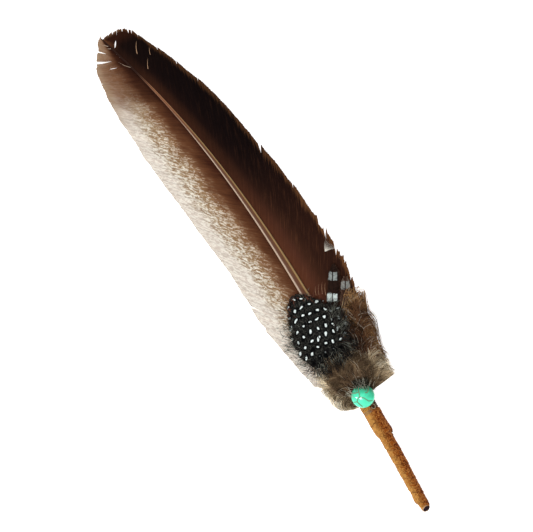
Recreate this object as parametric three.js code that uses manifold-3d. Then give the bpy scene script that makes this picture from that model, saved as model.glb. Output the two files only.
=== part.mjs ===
// A feather quill pen, lying on a table with the grooved face of its feather up.
//
// Millimetres. +X runs along the straight handle to the writing point, +Y towards the dark vane,
// +Z up. Parts are drawn with X = 0 at the mouth of the handle and Y = 0 on the axis of the
// refill, and the finished group is then moved so that its origin is under the middle of its box.

import * as THREE from "three";
import { mergeVertices } from "three/addons/utils/BufferGeometryUtils.js";
import Module from "manifold-3d";

const wasm = await Module();
wasm.setup();

// ---------------------------------------------------------------- driving dimensions

const boxCentre = new THREE.Vector3(-151.4, -5.86, 0); // middle of the pen's box, before the move

const axisZ = 4.6; // height of the handle's axis above the table
const calamusRadius = 2.4; // the bare quill inside the handle
const boreRadius = 1.3; // hollow of the quill
const boreEnd = -69; // the hollow stops here, at the pith
const quillMouth = -9; // the quill is cut off here and the bush takes over

const shaftBend = -110; // the feather's shaft starts to curve here
const shaftTip = -302;
const shaftSweep = 27; // how far the tip swings towards -Y
const shaftLowX = -190; // the shaft's lowest place, where the feather lies on the table
const shaftLowZ = 1.5;
const shaftTipZ = 9.5;
const shaftRootWidth = 5;
const shaftTipWidth = 0.6;
const grooveDepth = 0.9;

const vaneThickness = 0.5;
const gap = 0.3; // clearance between pieces that touch

const plumeThickness = 0.4;
const plumeQuillRadius = 0.27;
const plumeRing = 3.1; // the plumes' quills stand in a ring of this radius round the big quill
const plumeQuillEnd = -66.2;
const plumeBend = -74; // where the quills leave the binding and spread
const plumeFloor = 5.4; // height of the lowest plume over the bend
const plumeStep = 0.72; // each further plume lies this much higher
const plumeSlope = 0.02; // all of them sink towards their tips

const threadRadius = 0.4;
const threadPitch = 0.98;
const threadTurns = 5;
const threadStart = -71;

const stoneX = -69.6;
const stoneY = 0.15;
const stoneRadius = 6.2;
const stoneHeight = 3.6;
const padBottom = 9.4;
const padThickness = 0.7;
const padRadius = 5.2;

const overwrapStart = -64.9;
const overwrapEnd = -48.4;
const overwrapRadius = 4.85;

const refillRadius = 1.175;
const refillBore = 0.8;
const tubeStart = -66;
const tubeEnd = -9.6;
const ballRadius = 0.5;
const ballX = 0.8;

// ---------------------------------------------------------------- helpers

// Turns a closed geometry into a solid that can be joined and cut.
function solid(geometry) {
  const bare = geometry.clone();
  bare.deleteAttribute("normal");
  bare.deleteAttribute("uv");
  const merged = mergeVertices(bare, 1e-4);
  const mesh = new wasm.Mesh({
    numProp: 3,
    vertProperties: Float32Array.from(merged.attributes.position.array),
    triVerts: Uint32Array.from(merged.index.array),
  });
  return new wasm.Manifold(mesh);
}

function geometryOf(body) {
  const mesh = body.getMesh();
  const geometry = new THREE.BufferGeometry();
  geometry.setAttribute("position", new THREE.BufferAttribute(mesh.vertProperties, 3));
  geometry.setIndex(new THREE.BufferAttribute(mesh.triVerts, 1));
  geometry.computeVertexNormals();
  return geometry;
}

function signedVolume(points, index) {
  let volume = 0;
  for (let i = 0; i < index.length; i += 3) {
    const [a, b, c] = [points[index[i]], points[index[i + 1]], points[index[i + 2]]];
    volume += a.dot(b.clone().cross(c)) / 6;
  }
  return volume;
}

// A closed body through rings of points. In each ring, point k lies over point n - 1 - k, and
// the two ends are closed with strips between such pairs.
function loft(rings) {
  const n = rings[0].length;
  const points = rings.flat();
  const index = [];
  for (let i = 0; i + 1 < rings.length; i += 1) {
    for (let k = 0; k < n; k += 1) {
      const a = i * n + k;
      const b = i * n + ((k + 1) % n);
      index.push(a, b, b + n, a, b + n, a + n);
    }
  }
  const last = (rings.length - 1) * n;
  for (let k = 0; k + 1 < n / 2; k += 1) {
    const m = n - 1 - k;
    index.push(k, m, m - 1, k, m - 1, k + 1);
    index.push(last + k, last + m - 1, last + m, last + k, last + k + 1, last + m - 1);
  }
  if (signedVolume(points, index) < 0) {
    index.reverse();
  }
  const geometry = new THREE.BufferGeometry().setFromPoints(points);
  geometry.setIndex(index);
  geometry.computeVertexNormals();
  return geometry;
}

// A ring in the plane at x, half as wide as halfY and half as high as halfZ, with a groove on top.
function ring(x, y, z, halfY, halfZ, groove = 0, sides = 16) {
  return Array.from({ length: sides }, (_, k) => {
    const angle = ((k + 0.5) * 2 * Math.PI) / sides;
    const across = Math.cos(angle);
    const up = Math.sin(angle);
    const sunk = up > 0 ? groove * Math.exp(-((across / 0.3) ** 2)) : 0;
    return new THREE.Vector3(x, y + halfY * across, z + halfZ * up - sunk);
  });
}

// A round body about a line along X at the handle's height. The profile lists [x, radius] pairs.
function turned(profile, y = 0, sides = 18) {
  const points = profile.map(([x, radius]) => new THREE.Vector2(radius, x));
  const geometry = new THREE.LatheGeometry(points, sides);
  geometry.rotateZ(-Math.PI / 2);
  geometry.translate(0, y, axisZ);
  return geometry;
}

// A round tube along a curve.
function tube(curve, radius, steps, sides) {
  const section = new THREE.Shape(
    Array.from({ length: sides }, (_, k) => {
      const angle = (k * 2 * Math.PI) / sides;
      return new THREE.Vector2(radius * Math.cos(angle), radius * Math.sin(angle));
    }),
  );
  return new THREE.ExtrudeGeometry(section, { steps, bevelEnabled: false, extrudePath: curve });
}

// A thin closed sheet. Each row is a line of points from one edge of the sheet to the other.
function sheet(rows, thickness) {
  const half = new THREE.Vector3(0, 0, thickness / 2);
  return loft(
    rows.map((row) => [
      ...row.map((point) => point.clone().add(half)),
      ...row.map((point) => point.clone().sub(half)).reverse(),
    ]),
  );
}

const smooth = (t) => THREE.MathUtils.smoothstep(t, 0, 1);

const pen = new THREE.Group();

function add(name, geometry, color, roughness, metalness = 0) {
  const material = new THREE.MeshStandardMaterial({ color, roughness, metalness });
  const mesh = new THREE.Mesh(geometry, material);
  mesh.name = name;
  pen.add(mesh);
}

// ---------------------------------------------------------------- the big feather

// How far along the curved part of the shaft a place is, from 0 to 1 at the tip.
const alongShaft = (x) => Math.max(0, (shaftBend - x) / (shaftBend - shaftTip));
const shaftY = (x) => 0.2 * smooth((-75 - x) / 20) - shaftSweep * alongShaft(x) ** 2.1;

function shaftZ(x) {
  if (x > shaftLowX) {
    return axisZ - (axisZ - shaftLowZ) * smooth((plumeBend - x) / (plumeBend - shaftLowX));
  }
  return shaftLowZ + (shaftTipZ - shaftLowZ) * ((shaftLowX - x) / (shaftLowX - shaftTip)) ** 2;
}

const shaftWidth = (x) => THREE.MathUtils.lerp(shaftRootWidth, shaftTipWidth, alongShaft(x));

// The round quill turns into the grooved shaft between the binding and the first barbs.
function shaftRing(x) {
  const change = smooth((plumeBend - x) / (plumeBend - shaftBend));
  const halfWidth = THREE.MathUtils.lerp(calamusRadius, shaftWidth(x) / 2, change);
  const halfHeight = THREE.MathUtils.lerp(calamusRadius, shaftWidth(x) * 0.36, change);
  const groove = change * grooveDepth * (shaftWidth(x) / shaftRootWidth);
  return ring(x, shaftY(x), shaftZ(x), halfWidth, halfHeight, groove);
}

const shaftStations = [quillMouth, plumeBend, -84, -96, shaftBend];
const shaftSteps = 14;
for (let i = 1; i <= shaftSteps; i += 1) {
  shaftStations.push(shaftBend + ((shaftTip - shaftBend) * i) / shaftSteps);
}
const bore = turned([
  [boreEnd, 0],
  [boreEnd, boreRadius],
  [quillMouth + 1, boreRadius],
  [quillMouth + 1, 0],
]);
const shaft = solid(loft(shaftStations.map(shaftRing))).subtract(solid(bore));
add("feather_shaft", geometryOf(shaft), "#b98f5c", 0.45);

// A vane, given by some of its barbs. Each barb runs from a place on the shaft, at x = root, out
// to the edge of the vane. Between root and edge it sinks below the straight line by sag.
function vane(side, barbs, sag) {
  const roots = new THREE.CatmullRomCurve3(barbs.map((b) => new THREE.Vector3(b.root, 0, 0)));
  const edges = new THREE.CatmullRomCurve3(barbs.map((b) => new THREE.Vector3(...b.edge)));
  const rowCount = 30;
  const across = 5;
  const rows = [];
  for (let i = 0; i <= rowCount; i += 1) {
    const u = i / rowCount;
    const x = roots.getPoint(u).x;
    const root = new THREE.Vector3(x, shaftY(x) + side * (shaftWidth(x) / 2 + gap), shaftZ(x));
    const edge = edges.getPoint(u);
    const sink = sag * Math.sin(Math.PI * u);
    const row = [];
    for (let j = 0; j <= across; j += 1) {
      const v = j / across;
      const point = root.clone().lerp(edge, v);
      point.z -= sink * Math.sin(Math.PI * v);
      row.push(point);
    }
    rows.push(row);
  }
  return sheet(rows, vaneThickness);
}

const creamBarbs = [
  { root: -94, edge: [-100, -22.5, 2.6] },
  { root: -106, edge: [-122, -26.6, 1.6] },
  { root: -122, edge: [-144, -27.6, 0.8] },
  { root: -146, edge: [-172, -30.0, 0.3] },
  { root: -170, edge: [-202, -33.8, 0.3] },
  { root: -195, edge: [-231, -37.2, 0.4] },
  { root: -220, edge: [-256, -39.1, 1.4] },
  { root: -245, edge: [-276, -39.1, 3.2] },
  { root: -265, edge: [-289, -37.6, 5.0] },
  { root: -281, edge: [-296.5, -33.2, 7.0] },
  { root: -293, edge: [-301.5, -30.2, 8.6] },
  { root: -301, edge: [-303.6, -28.0, 9.5] },
];
add("vane_cream", vane(-1, creamBarbs, 0.1), "#b9a288", 0.8);

const darkBarbs = [
  { root: -96, edge: [-104, 21.5, 3.4] },
  { root: -108, edge: [-126, 25.6, 3.3] },
  { root: -124, edge: [-148, 26.6, 3.2] },
  { root: -146, edge: [-178, 24.4, 3.0] },
  { root: -170, edge: [-207, 19.8, 2.7] },
  { root: -195, edge: [-232, 15.2, 2.8] },
  { root: -220, edge: [-253, 9.4, 3.6] },
  { root: -245, edge: [-272, 2.2, 5.2] },
  { root: -264, edge: [-287, -4.6, 7.0] },
  { root: -279, edge: [-296, -9.2, 8.4] },
  { root: -290, edge: [-302, -14.0, 9.4] },
  { root: -297, edge: [-304, -19.8, 10.0] },
  { root: -301.5, edge: [-303.9, -25.4, 9.9] },
];
add("vane_dark", vane(1, darkBarbs, 1.85), "#38231c", 0.7);

// ---------------------------------------------------------------- the small plumes and the down

// One plume: a leaf on a quill of its own. The quill starts under the binding, at an angle round
// the big quill counted from +Y towards +Z, and the leaf spreads from start to tip.
function plume({ angle, level, start, tip, halfWidth }) {
  const turn = THREE.MathUtils.degToRad(angle);
  const [y, z] = [plumeRing * Math.cos(turn), axisZ + plumeRing * Math.sin(turn)];
  const heightAt = (x) => plumeFloor + plumeStep * level - plumeSlope * (plumeBend - x);
  const from = new THREE.Vector3(...start, heightAt(start[0]));
  const to = new THREE.Vector3(...tip, heightAt(tip[0]));
  const out = to.clone().sub(from);
  const sideways = new THREE.Vector3(-out.y, out.x, 0).normalize();
  const rowCount = 7;
  const across = 4;
  const rows = [];
  for (let i = 0; i <= rowCount; i += 1) {
    const u = i / rowCount;
    const half = Math.max(0.4, halfWidth * Math.sin(Math.PI * (0.06 + 0.9 * u) ** 0.75) ** 0.7);
    const row = [];
    for (let j = 0; j <= across; j += 1) {
      const shift = sideways.clone().multiplyScalar(half * ((2 * j) / across - 1));
      row.push(from.clone().addScaledVector(out, u).add(shift));
    }
    rows.push(row);
  }
  const quill = new THREE.CatmullRomCurve3([
    new THREE.Vector3(plumeQuillEnd, y, z),
    new THREE.Vector3(plumeBend + 1, y, z),
    from.clone().addScaledVector(out, 0.1),
    from.clone().addScaledVector(out, 0.6),
  ]);
  const body = solid(sheet(rows, plumeThickness)).add(solid(tube(quill, plumeQuillRadius, 12, 6)));
  return geometryOf(body);
}

const plumes = {
  down_back: {
    shape: { angle: 270, level: -5, start: [-77, 0], tip: [-105, -3], halfWidth: 12 },
    color: "#7a6a58",
  },
  down_left: {
    shape: { angle: 180, level: 0, start: [-77, -9], tip: [-101, -17], halfWidth: 6.5 },
    color: "#8d7d69",
  },
  brown_plume: {
    shape: { angle: -32, level: 0, start: [-80, 9], tip: [-124, 26.8], halfWidth: 4.5 },
    color: "#6b4a2c",
  },
  barred_side_plume: {
    shape: { angle: -8, level: 1, start: [-86, 7], tip: [-130, 23], halfWidth: 3.5 },
    color: "#4c4138",
  },
  barred_plume: {
    shape: { angle: 16, level: 2, start: [-86, 4], tip: [-139, 21.5], halfWidth: 3.6 },
    color: "#2b211c",
  },
  spotted_side_plume: {
    shape: { angle: 42, level: 3, start: [-84, 3], tip: [-122, 8], halfWidth: 8 },
    color: "#33302e",
  },
  spotted_plume: {
    shape: { angle: 99, level: 4, start: [-88, -3], tip: [-134, -5], halfWidth: 13 },
    color: "#161413",
  },
  down_right: {
    shape: { angle: 70, level: 5, start: [-75, 9], tip: [-97, 18], halfWidth: 7.5 },
    color: "#85735f",
  },
  down_front: {
    shape: { angle: 127, level: 6, start: [-78, -2], tip: [-101, -4], halfWidth: 10 },
    color: "#6f6252",
  },
};
for (const [name, { shape, color }] of Object.entries(plumes)) {
  add(name, plume(shape), color, 0.9);
}

// ---------------------------------------------------------------- binding, stone and pad

// The thread lies round all the quills in one helix, a little flatter than it is wide.
class Winding extends THREE.Curve {
  getPoint(t, target = new THREE.Vector3()) {
    const turn = t * threadTurns * 2 * Math.PI;
    const x = threadStart + t * threadTurns * threadPitch;
    return target.set(x, 4.9 * Math.sin(turn), axisZ + 4.1 * Math.cos(turn));
  }
}
add("binding_thread", tube(new Winding(), threadRadius, threadTurns * 14, 6), "#2a1a12", 0.8);

function upright(profile, sides) {
  const points = profile.map(([radius, z]) => new THREE.Vector2(radius, z));
  const geometry = new THREE.LatheGeometry(points, sides);
  geometry.rotateX(Math.PI / 2);
  geometry.scale(1, -1, 1);
  geometry.index.array.reverse();
  geometry.translate(stoneX, stoneY, 0);
  return geometry;
}

const padTop = padBottom + padThickness;
const pad = [
  [0, padBottom],
  [padRadius, padBottom],
  [padRadius, padTop],
  [0, padTop],
];
add("cabochon_pad", upright(pad, 28), "#7a4a22", 0.9);

const stoneBottom = padTop + gap;
const domeSteps = 8;
const dome = [[0, stoneBottom], [stoneRadius - 0.4, stoneBottom], [stoneRadius, stoneBottom + 0.5]];
for (let i = 1; i <= domeSteps; i += 1) {
  const angle = (i * Math.PI) / 2 / domeSteps;
  const radius = i === domeSteps ? 0 : stoneRadius * Math.cos(angle);
  dome.push([radius, stoneBottom + 0.5 + (stoneHeight - 0.5) * Math.sin(angle)]);
}
add("turquoise_cabochon", upright(dome, 32), "#3fc6a4", 0.2);

// ---------------------------------------------------------------- the suede handle

// The strip wound round the quill, given by where its outside is: [x, centre y, radius].
const wrapOutline = [
  [-64.6, 0.2, 3.7],
  [-40, 0.35, 3.7],
  [-28, 0.3, 3.6],
  [-18, 0, 3.4],
  [-10, -0.1, 3.25],
  [-6, -0.3, 3.3],
  [-3.4, 0.1, 2.9],
  [-1.2, 0.2, 2.5],
  [0.1, 0.15, 2.1],
];
const wrapOutside = loft(wrapOutline.map(([x, y, radius]) => ring(x, y, axisZ, radius, radius)));
const wrapHollow = turned([
  [-70, 0],
  [-70, calamusRadius + gap],
  [-7, calamusRadius + gap],
  [-6, 1.95],
  [2, 1.95],
  [2, 0],
]);
const wrap = solid(wrapOutside).subtract(solid(wrapHollow));
add("suede_wrap", geometryOf(wrap), "#a9682f", 0.95);

// The second layer near the stone. Its underside is pressed flat, and the pen rests on it.
const overwrapRings = [
  [overwrapStart, 0.2, 4.6],
  [-60, 0.25, overwrapRadius],
  [-51, 0.25, overwrapRadius],
  [overwrapEnd, 0.4, 4.5],
].map(([x, y, radius]) => ring(x, y, axisZ, radius, radius, 0, 24));
const overwrapHollow = turned(
  [
    [-66, 0],
    [-66, 4.02],
    [-45, 4.02],
    [-45, 0],
  ],
  0.25,
);
const table = new THREE.BoxGeometry(40, 20, 4);
table.translate(-56, 0, -2);
const overwrap = solid(loft(overwrapRings)).subtract(solid(overwrapHollow)).subtract(solid(table));
add("suede_overwrap", geometryOf(overwrap), "#b4733a", 0.95);

// The end of the strip, tucked into a small lump beside the second layer.
const lump = new THREE.SphereGeometry(1, 12, 8);
lump.scale(1.3, 0.6, 1.7);
lump.translate(-46.8, 4.75, axisZ);
add("wrap_tuck", lump, "#8a4e22", 0.95);

// ---------------------------------------------------------------- inside the handle

// The bush closes the cut end of the quill and grips the refill.
const bush = [
  [quillMouth + gap, refillRadius + 0.05],
  [quillMouth + gap, 1.65],
  [0.1, 1.65],
  [0.6, 1.4],
  [0.6, refillRadius + 0.05],
  [quillMouth + gap, refillRadius + 0.05],
];
add("mouth_bush", turned(bush), "#241a1c", 0.5);

// Dry pith fills the quill's hollow behind the refill.
const pith = [
  [boreEnd + gap, 0],
  [boreEnd + gap, 1.1],
  [tubeStart - gap, 1.1],
  [tubeStart - gap, 0],
];
add("pith_plug", turned(pith), "#d8cbb2", 0.95);

const refillTube = [
  [tubeStart, refillBore],
  [tubeStart, refillRadius],
  [tubeEnd, refillRadius],
  [tubeEnd, refillBore],
  [tubeStart, refillBore],
];
add("refill_tube", turned(refillTube), "#b8bcc0", 0.35, 1);

const ink = [
  [tubeStart + 8, 0],
  [tubeStart + 8, 0.7],
  [tubeEnd - 3.5, 0.7],
  [tubeEnd - 3.5, 0],
];
add("ink_column", turned(ink), "#0b0c14", 0.3);

// The brass point: a spigot in the tube, a shoulder, a long cone, and a socket for the ball with
// an ink channel behind it.
const tip = [
  [tubeEnd - 3, 0.2],
  [tubeEnd - 3, 0.72],
  [tubeEnd + 0.05, 0.72],
  [tubeEnd + 0.05, refillRadius],
  [-7.5, refillRadius],
  [-1.2, 0.85],
  [0.55, 0.68],
  [ballX + 0.18, 0.56],
  [ballX + 0.18, 0.49],
  [ballX, 0.53],
  [ballX - 0.35, 0.42],
  [ballX - 0.53, 0.2],
  [tubeEnd - 3, 0.2],
];
add("refill_tip", turned(tip), "#c9a24b", 0.3, 1);

const ball = new THREE.SphereGeometry(ballRadius, 16, 10);
ball.translate(ballX, 0, axisZ);
add("writing_ball", ball, "#9a9da0", 0.2, 1);

pen.position.copy(boxCentre).negate();

export default pen;
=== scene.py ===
"""The looks of the feather quill pen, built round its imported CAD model.

Shapes are worked out in millimetres with X = 0 at the mouth of the handle, Y = 0 on the axis of the
refill and Z = 0 on the table, as in the CAD drawing, and become metres when a mesh is made.
Feathers are made of barbs: each barb, hair and thread is a thin closed solid of its own.
"""

import math

import bpy
import numpy as np
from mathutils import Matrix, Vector


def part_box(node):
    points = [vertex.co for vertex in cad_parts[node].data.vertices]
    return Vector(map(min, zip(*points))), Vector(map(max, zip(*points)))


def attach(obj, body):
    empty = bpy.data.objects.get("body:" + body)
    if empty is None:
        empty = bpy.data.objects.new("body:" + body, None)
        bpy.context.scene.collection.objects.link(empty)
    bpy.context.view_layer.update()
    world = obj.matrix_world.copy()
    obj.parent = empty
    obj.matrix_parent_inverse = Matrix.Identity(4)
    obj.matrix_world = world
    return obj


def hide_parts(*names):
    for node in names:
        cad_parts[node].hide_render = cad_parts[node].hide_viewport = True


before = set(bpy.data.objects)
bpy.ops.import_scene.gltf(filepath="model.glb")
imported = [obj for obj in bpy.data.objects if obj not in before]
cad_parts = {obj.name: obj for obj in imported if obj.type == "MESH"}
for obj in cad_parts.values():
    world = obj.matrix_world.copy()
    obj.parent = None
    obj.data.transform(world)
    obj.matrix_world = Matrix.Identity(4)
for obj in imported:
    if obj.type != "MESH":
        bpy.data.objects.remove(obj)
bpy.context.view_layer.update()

MM = 0.001
random = np.random.default_rng(12)

# ---------------------------------------------------------------- driving dimensions, millimetres

AXIS_Z = 4.6  # height of the handle's axis
BALL_X = 0.8  # centre of the writing ball, which ties this drawing to the CAD model
CALAMUS_RADIUS = 2.4  # the bare quill inside the handle
BORE_RADIUS = 1.3  # the hollow that the refill slides in
BORE_END = -69
QUILL_MOUTH = -9

SHAFT_BEND = -110  # the feather's shaft starts to curve here
SHAFT_TIP = -302.5
SHAFT_END = -302  # its curves are laid out up to here
SHAFT_SWEEP = 27  # how far the tip swings to -Y
SHAFT_SWELL = 1.25  # how far the middle bows the other way
SHAFT_LOW_X = -190  # where the shaft lies lowest
SHAFT_LOW_Z = 1.5
SHAFT_TIP_Z = 9.5
SHAFT_ROOT_WIDTH = 5.0
SHAFT_TIP_WIDTH = 0.6
PLUME_BEND = -74  # the small plumes leave the binding here
PLUME_FALL = 0.02  # how much they drop for each millimetre from there
PLUME_QUILL = 0.3  # radius of their quills at the base

BINDING = (-69.0, 0.0)  # the middle of the binding, which the down spreads from
STONE = (-69.6, 0.15)
STONE_RADIUS = 6.2
STONE_BOTTOM = 10.4
STONE_HEIGHT = 3.6
PAD_BOTTOM = 9.4
PAD_TOP = 10.1
PAD_RADIUS = 5.25

HANDLE_Y = 0.32  # the middle of the suede above the quills, which is a little to one side
UNDER_OVERWRAP = 3.7  # radius of the first layer of suede near the stone

ball_low, ball_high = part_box("writing_ball")
ORIGIN = np.array([(a + b) / 2 / MM for a, b in zip(ball_low, ball_high)]) - (BALL_X, 0, AXIS_Z)


def drawn(box):
    """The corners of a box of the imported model, in this drawing's millimetres."""
    return [np.array(corner) / MM - ORIGIN for corner in box]


# ---------------------------------------------------------------- numbers and curves


def smooth(value):
    """An S-curve from 0 to 1."""
    clipped = np.clip(value, 0, 1)
    return clipped * clipped * (3 - 2 * clipped)


def through(rows, at):
    """Smooth values between the rows of a table, whose first column says where each row is."""
    rows = np.array(sorted(rows), float)
    keys = rows[:, 0]
    at = np.asarray(at, float)
    slopes = np.gradient(rows[:, 1:], keys, axis=0)
    i = np.clip(np.searchsorted(keys, at) - 1, 0, len(keys) - 2)
    step = (keys[i + 1] - keys[i])[:, None]
    f = (at - keys[i])[:, None] / step
    here = (1 + 2 * f) * (1 - f) ** 2 * rows[i, 1:] + f * (1 - f) ** 2 * step * slopes[i]
    there = f * f * (3 - 2 * f) * rows[i + 1, 1:] + f * f * (f - 1) * step * slopes[i + 1]
    return here + there


def wander(at, pitch):
    """Smooth random numbers from -1 to 1 that change over about one pitch."""
    at = np.asarray(at, float)
    knots = np.arange(at.min() - 2 * pitch, at.max() + 3 * pitch, pitch)
    values = random.uniform(-1, 1, len(knots))
    place = (at - knots[0]) / pitch
    i = place.astype(int)
    f = smooth(place - i)
    return values[i] * (1 - f) + values[i + 1] * f


def unit(vectors):
    return vectors / np.maximum(np.linalg.norm(vectors, axis=-1, keepdims=True), 1e-9)


def around(sides):
    """The angles of the corners of a ring."""
    return np.arange(sides) * 2 * np.pi / sides


def per_point(rings, *values):
    """Three numbers for every point of the rings."""
    return np.stack([np.broadcast_to(value, rings.shape[:-1]) for value in values], -1)


def along(paths):
    """Unit direction at each point of each path, and the length so far."""
    tangents = unit(np.gradient(paths, axis=1))
    steps = np.linalg.norm(np.diff(paths, axis=1), axis=-1)
    lengths = np.concatenate([np.zeros((len(paths), 1)), np.cumsum(steps, axis=1)], axis=1)
    return tangents, lengths


def along_shaft(x):
    """0 where the shaft starts to curve, 1 at its end."""
    return np.clip((SHAFT_BEND - x) / (SHAFT_BEND - SHAFT_END), 0, None)


def shaft_y(x):
    share = np.minimum(along_shaft(x), 1)
    swell = SHAFT_SWELL * np.sin(np.pi * share**1.7)
    return 0.2 * smooth((-75 - x) / 20) - SHAFT_SWEEP * along_shaft(x) ** 2.1 + swell


def shaft_z(x):
    near = AXIS_Z - (AXIS_Z - SHAFT_LOW_Z) * smooth((PLUME_BEND - x) / (PLUME_BEND - SHAFT_LOW_X))
    rise = ((SHAFT_LOW_X - x) / (SHAFT_LOW_X - SHAFT_END)) ** 2
    far = SHAFT_LOW_Z + (SHAFT_TIP_Z - SHAFT_LOW_Z) * rise
    return np.where(x > SHAFT_LOW_X, near, far)


def shaft_width(x):
    return SHAFT_ROOT_WIDTH + (SHAFT_TIP_WIDTH - SHAFT_ROOT_WIDTH) * np.minimum(along_shaft(x), 1)


# ---------------------------------------------------------------- meshes


class Shape:
    """Gathers closed rings of points, N solids of M rings of K points each, into one mesh.

    Three point attributes go with them: strand (place across, length so far, random), spread
    (root to tip, across the solid, kind) and place (drawing coordinates, in mm)."""

    def __init__(self):
        self.points = []
        self.quads = []
        self.caps = {}
        self.fields = {"strand": [], "spread": [], "place": []}
        self.uvs = []
        self.count = 0

    def add(self, rings, strand=None, spread=None, place=None, closed=False, columns=None):
        """Adds solids with ends, or closed on themselves. Columns says how their UVs are laid out."""
        n, m, k, _ = rings.shape
        index = np.arange(n * m * k).reshape(n, m, k) + self.count
        here, there = (index, np.roll(index, -1, 1)) if closed else (index[:, :-1], index[:, 1:])
        quads = np.stack([here, np.roll(here, -1, 2), np.roll(there, -1, 2), there], -1)
        caps = [] if closed else [index[:, 0, ::-1], index[:, -1]]
        if self.volume(rings, closed) < 0:
            quads = quads[..., ::-1]
            caps = [cap[:, ::-1] for cap in caps]
        self.quads.append(quads.reshape(-1, 4))
        self.caps.setdefault(k, []).extend(caps)
        self.points.append(rings.reshape(-1, 3))
        fields = {"strand": strand, "spread": spread, "place": rings if place is None else place}
        for name, values in fields.items():
            values = np.zeros(3) if values is None else values
            self.fields[name].append(np.broadcast_to(values, rings.shape).reshape(-1, 3))
        columns = columns or max(1, math.ceil(math.sqrt(n)))
        rows = math.ceil(n / columns)
        number = np.arange(n)[:, None, None]
        side = (1 - np.cos(2 * np.pi * np.arange(k) / k)) / 2 * 0.8 + 0.1
        u = (number % columns + side[None, None, :]) / columns
        v = (number // columns + np.linspace(0.02, 0.98, m)[None, :, None]) / rows
        uv = np.stack([u + 0 * v, v + 0 * u], -1)
        self.uvs.append(uv.reshape(-1, 2))
        self.count += n * m * k

    @staticmethod
    def volume(rings, closed):
        """Six times the volume of the first solid, which is negative if its faces point inwards."""
        first = rings[0]
        if closed:
            first = np.concatenate([first, first[:1]])
        first = first - first.reshape(-1, 3).mean(0)
        here, ahead = first[:-1], first[1:]
        beside, across = np.roll(here, -1, 1), np.roll(ahead, -1, 1)
        return np.einsum("mki,mki->", here, np.cross(beside, across) + np.cross(across, ahead))

    def finish(self, name, material, replaces, slot, body="pen"):
        points = (np.concatenate(self.points) + ORIGIN) * MM
        groups = [np.concatenate(self.quads)] + [np.concatenate(c) for c in self.caps.values() if c]
        corners = np.concatenate([g.ravel() for g in groups])
        sizes = np.concatenate([np.full(len(g), g.shape[1]) for g in groups])
        mesh = bpy.data.meshes.new(name)
        mesh.vertices.add(len(points))
        mesh.vertices.foreach_set("co", points.astype(np.float32).ravel())
        mesh.loops.add(len(corners))
        mesh.loops.foreach_set("vertex_index", corners.astype(np.int32))
        mesh.polygons.add(len(sizes))
        mesh.polygons.foreach_set("loop_start", (np.cumsum(sizes) - sizes).astype(np.int32))
        mesh.update(calc_edges=True)
        mesh.shade_smooth()
        for label, parts in self.fields.items():
            layer = mesh.attributes.new(label, "FLOAT_VECTOR", "POINT")
            layer.data.foreach_set("vector", np.concatenate(parts).astype(np.float32).ravel())
        uv = mesh.uv_layers.new(name="OFBake")
        uv.data.foreach_set("uv", np.concatenate(self.uvs)[corners].astype(np.float32).ravel())
        mesh.materials.append(material)
        made = bpy.data.objects.new(name, mesh)
        bpy.context.scene.collection.objects.link(made)
        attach(made, body)
        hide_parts(replaces)
        return made


def barb_paths(roots, edges, steps, bow, sag, reach):
    """Barbs from their roots out to the edge. They bow by a share of their length, and sag."""
    t = np.linspace(0, 1, steps)[None, :, None] * reach[:, None, None]
    chord = edges - roots
    sideways = np.stack([-chord[:, 1], chord[:, 0], 0 * chord[:, 0]], -1)
    control = ((roots + edges) / 2 + sideways * bow)[:, None]
    paths = roots[:, None] * (1 - t) ** 2 + 2 * control * t * (1 - t) + edges[:, None] * t**2
    paths[..., 2] -= sag * np.sin(np.pi * np.clip(t[..., 0], 0, 1))
    return paths


def barb_rings(paths, half, height, tilt):
    """A flat four-cornered section along each path. Tilt lifts one edge over its neighbour."""
    tangents, lengths = along(paths)
    across = unit(np.cross(np.array([0.0, 0.0, 1.0]), tangents))
    up = np.cross(tangents, across)
    half = half[..., None]
    left = paths + across * half + up * tilt
    right = paths - across * half - up * tilt
    top = paths + up * height
    bottom = paths - up * height
    return np.stack([left, top, right, bottom], 2), lengths


def open_slits(paths, places, slits, steps):
    """Parts neighbouring barbs at each slit: place of its root, start and end along the barb, width,
    and how far along the shaft the push is felt. A slit that ends at 1 is open at the margin."""
    tangents, _ = along(paths)
    across = unit(np.cross(np.array([0.0, 0.0, 1.0]), tangents))
    t = np.linspace(0, 1, steps)[None, :]
    toward = np.sign(np.einsum("nmi,nmi->nm", np.gradient(paths, axis=0), across))
    for place, start, stop, width, felt in slits:
        offset = (places - place)[:, None]
        if stop < 1:
            opening = np.sin(np.pi * np.clip((t - start) / (stop - start), 0, 1)) ** 0.7
        else:
            opening = smooth((t - start) / (1 - start)) ** 0.8
        step = np.sign(offset) * np.sign(places[-1] - places[0])
        push = step * width / 2 * np.exp(-np.abs(offset) / felt) * opening * toward
        paths = paths + across * push[..., None]
    return paths


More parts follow.
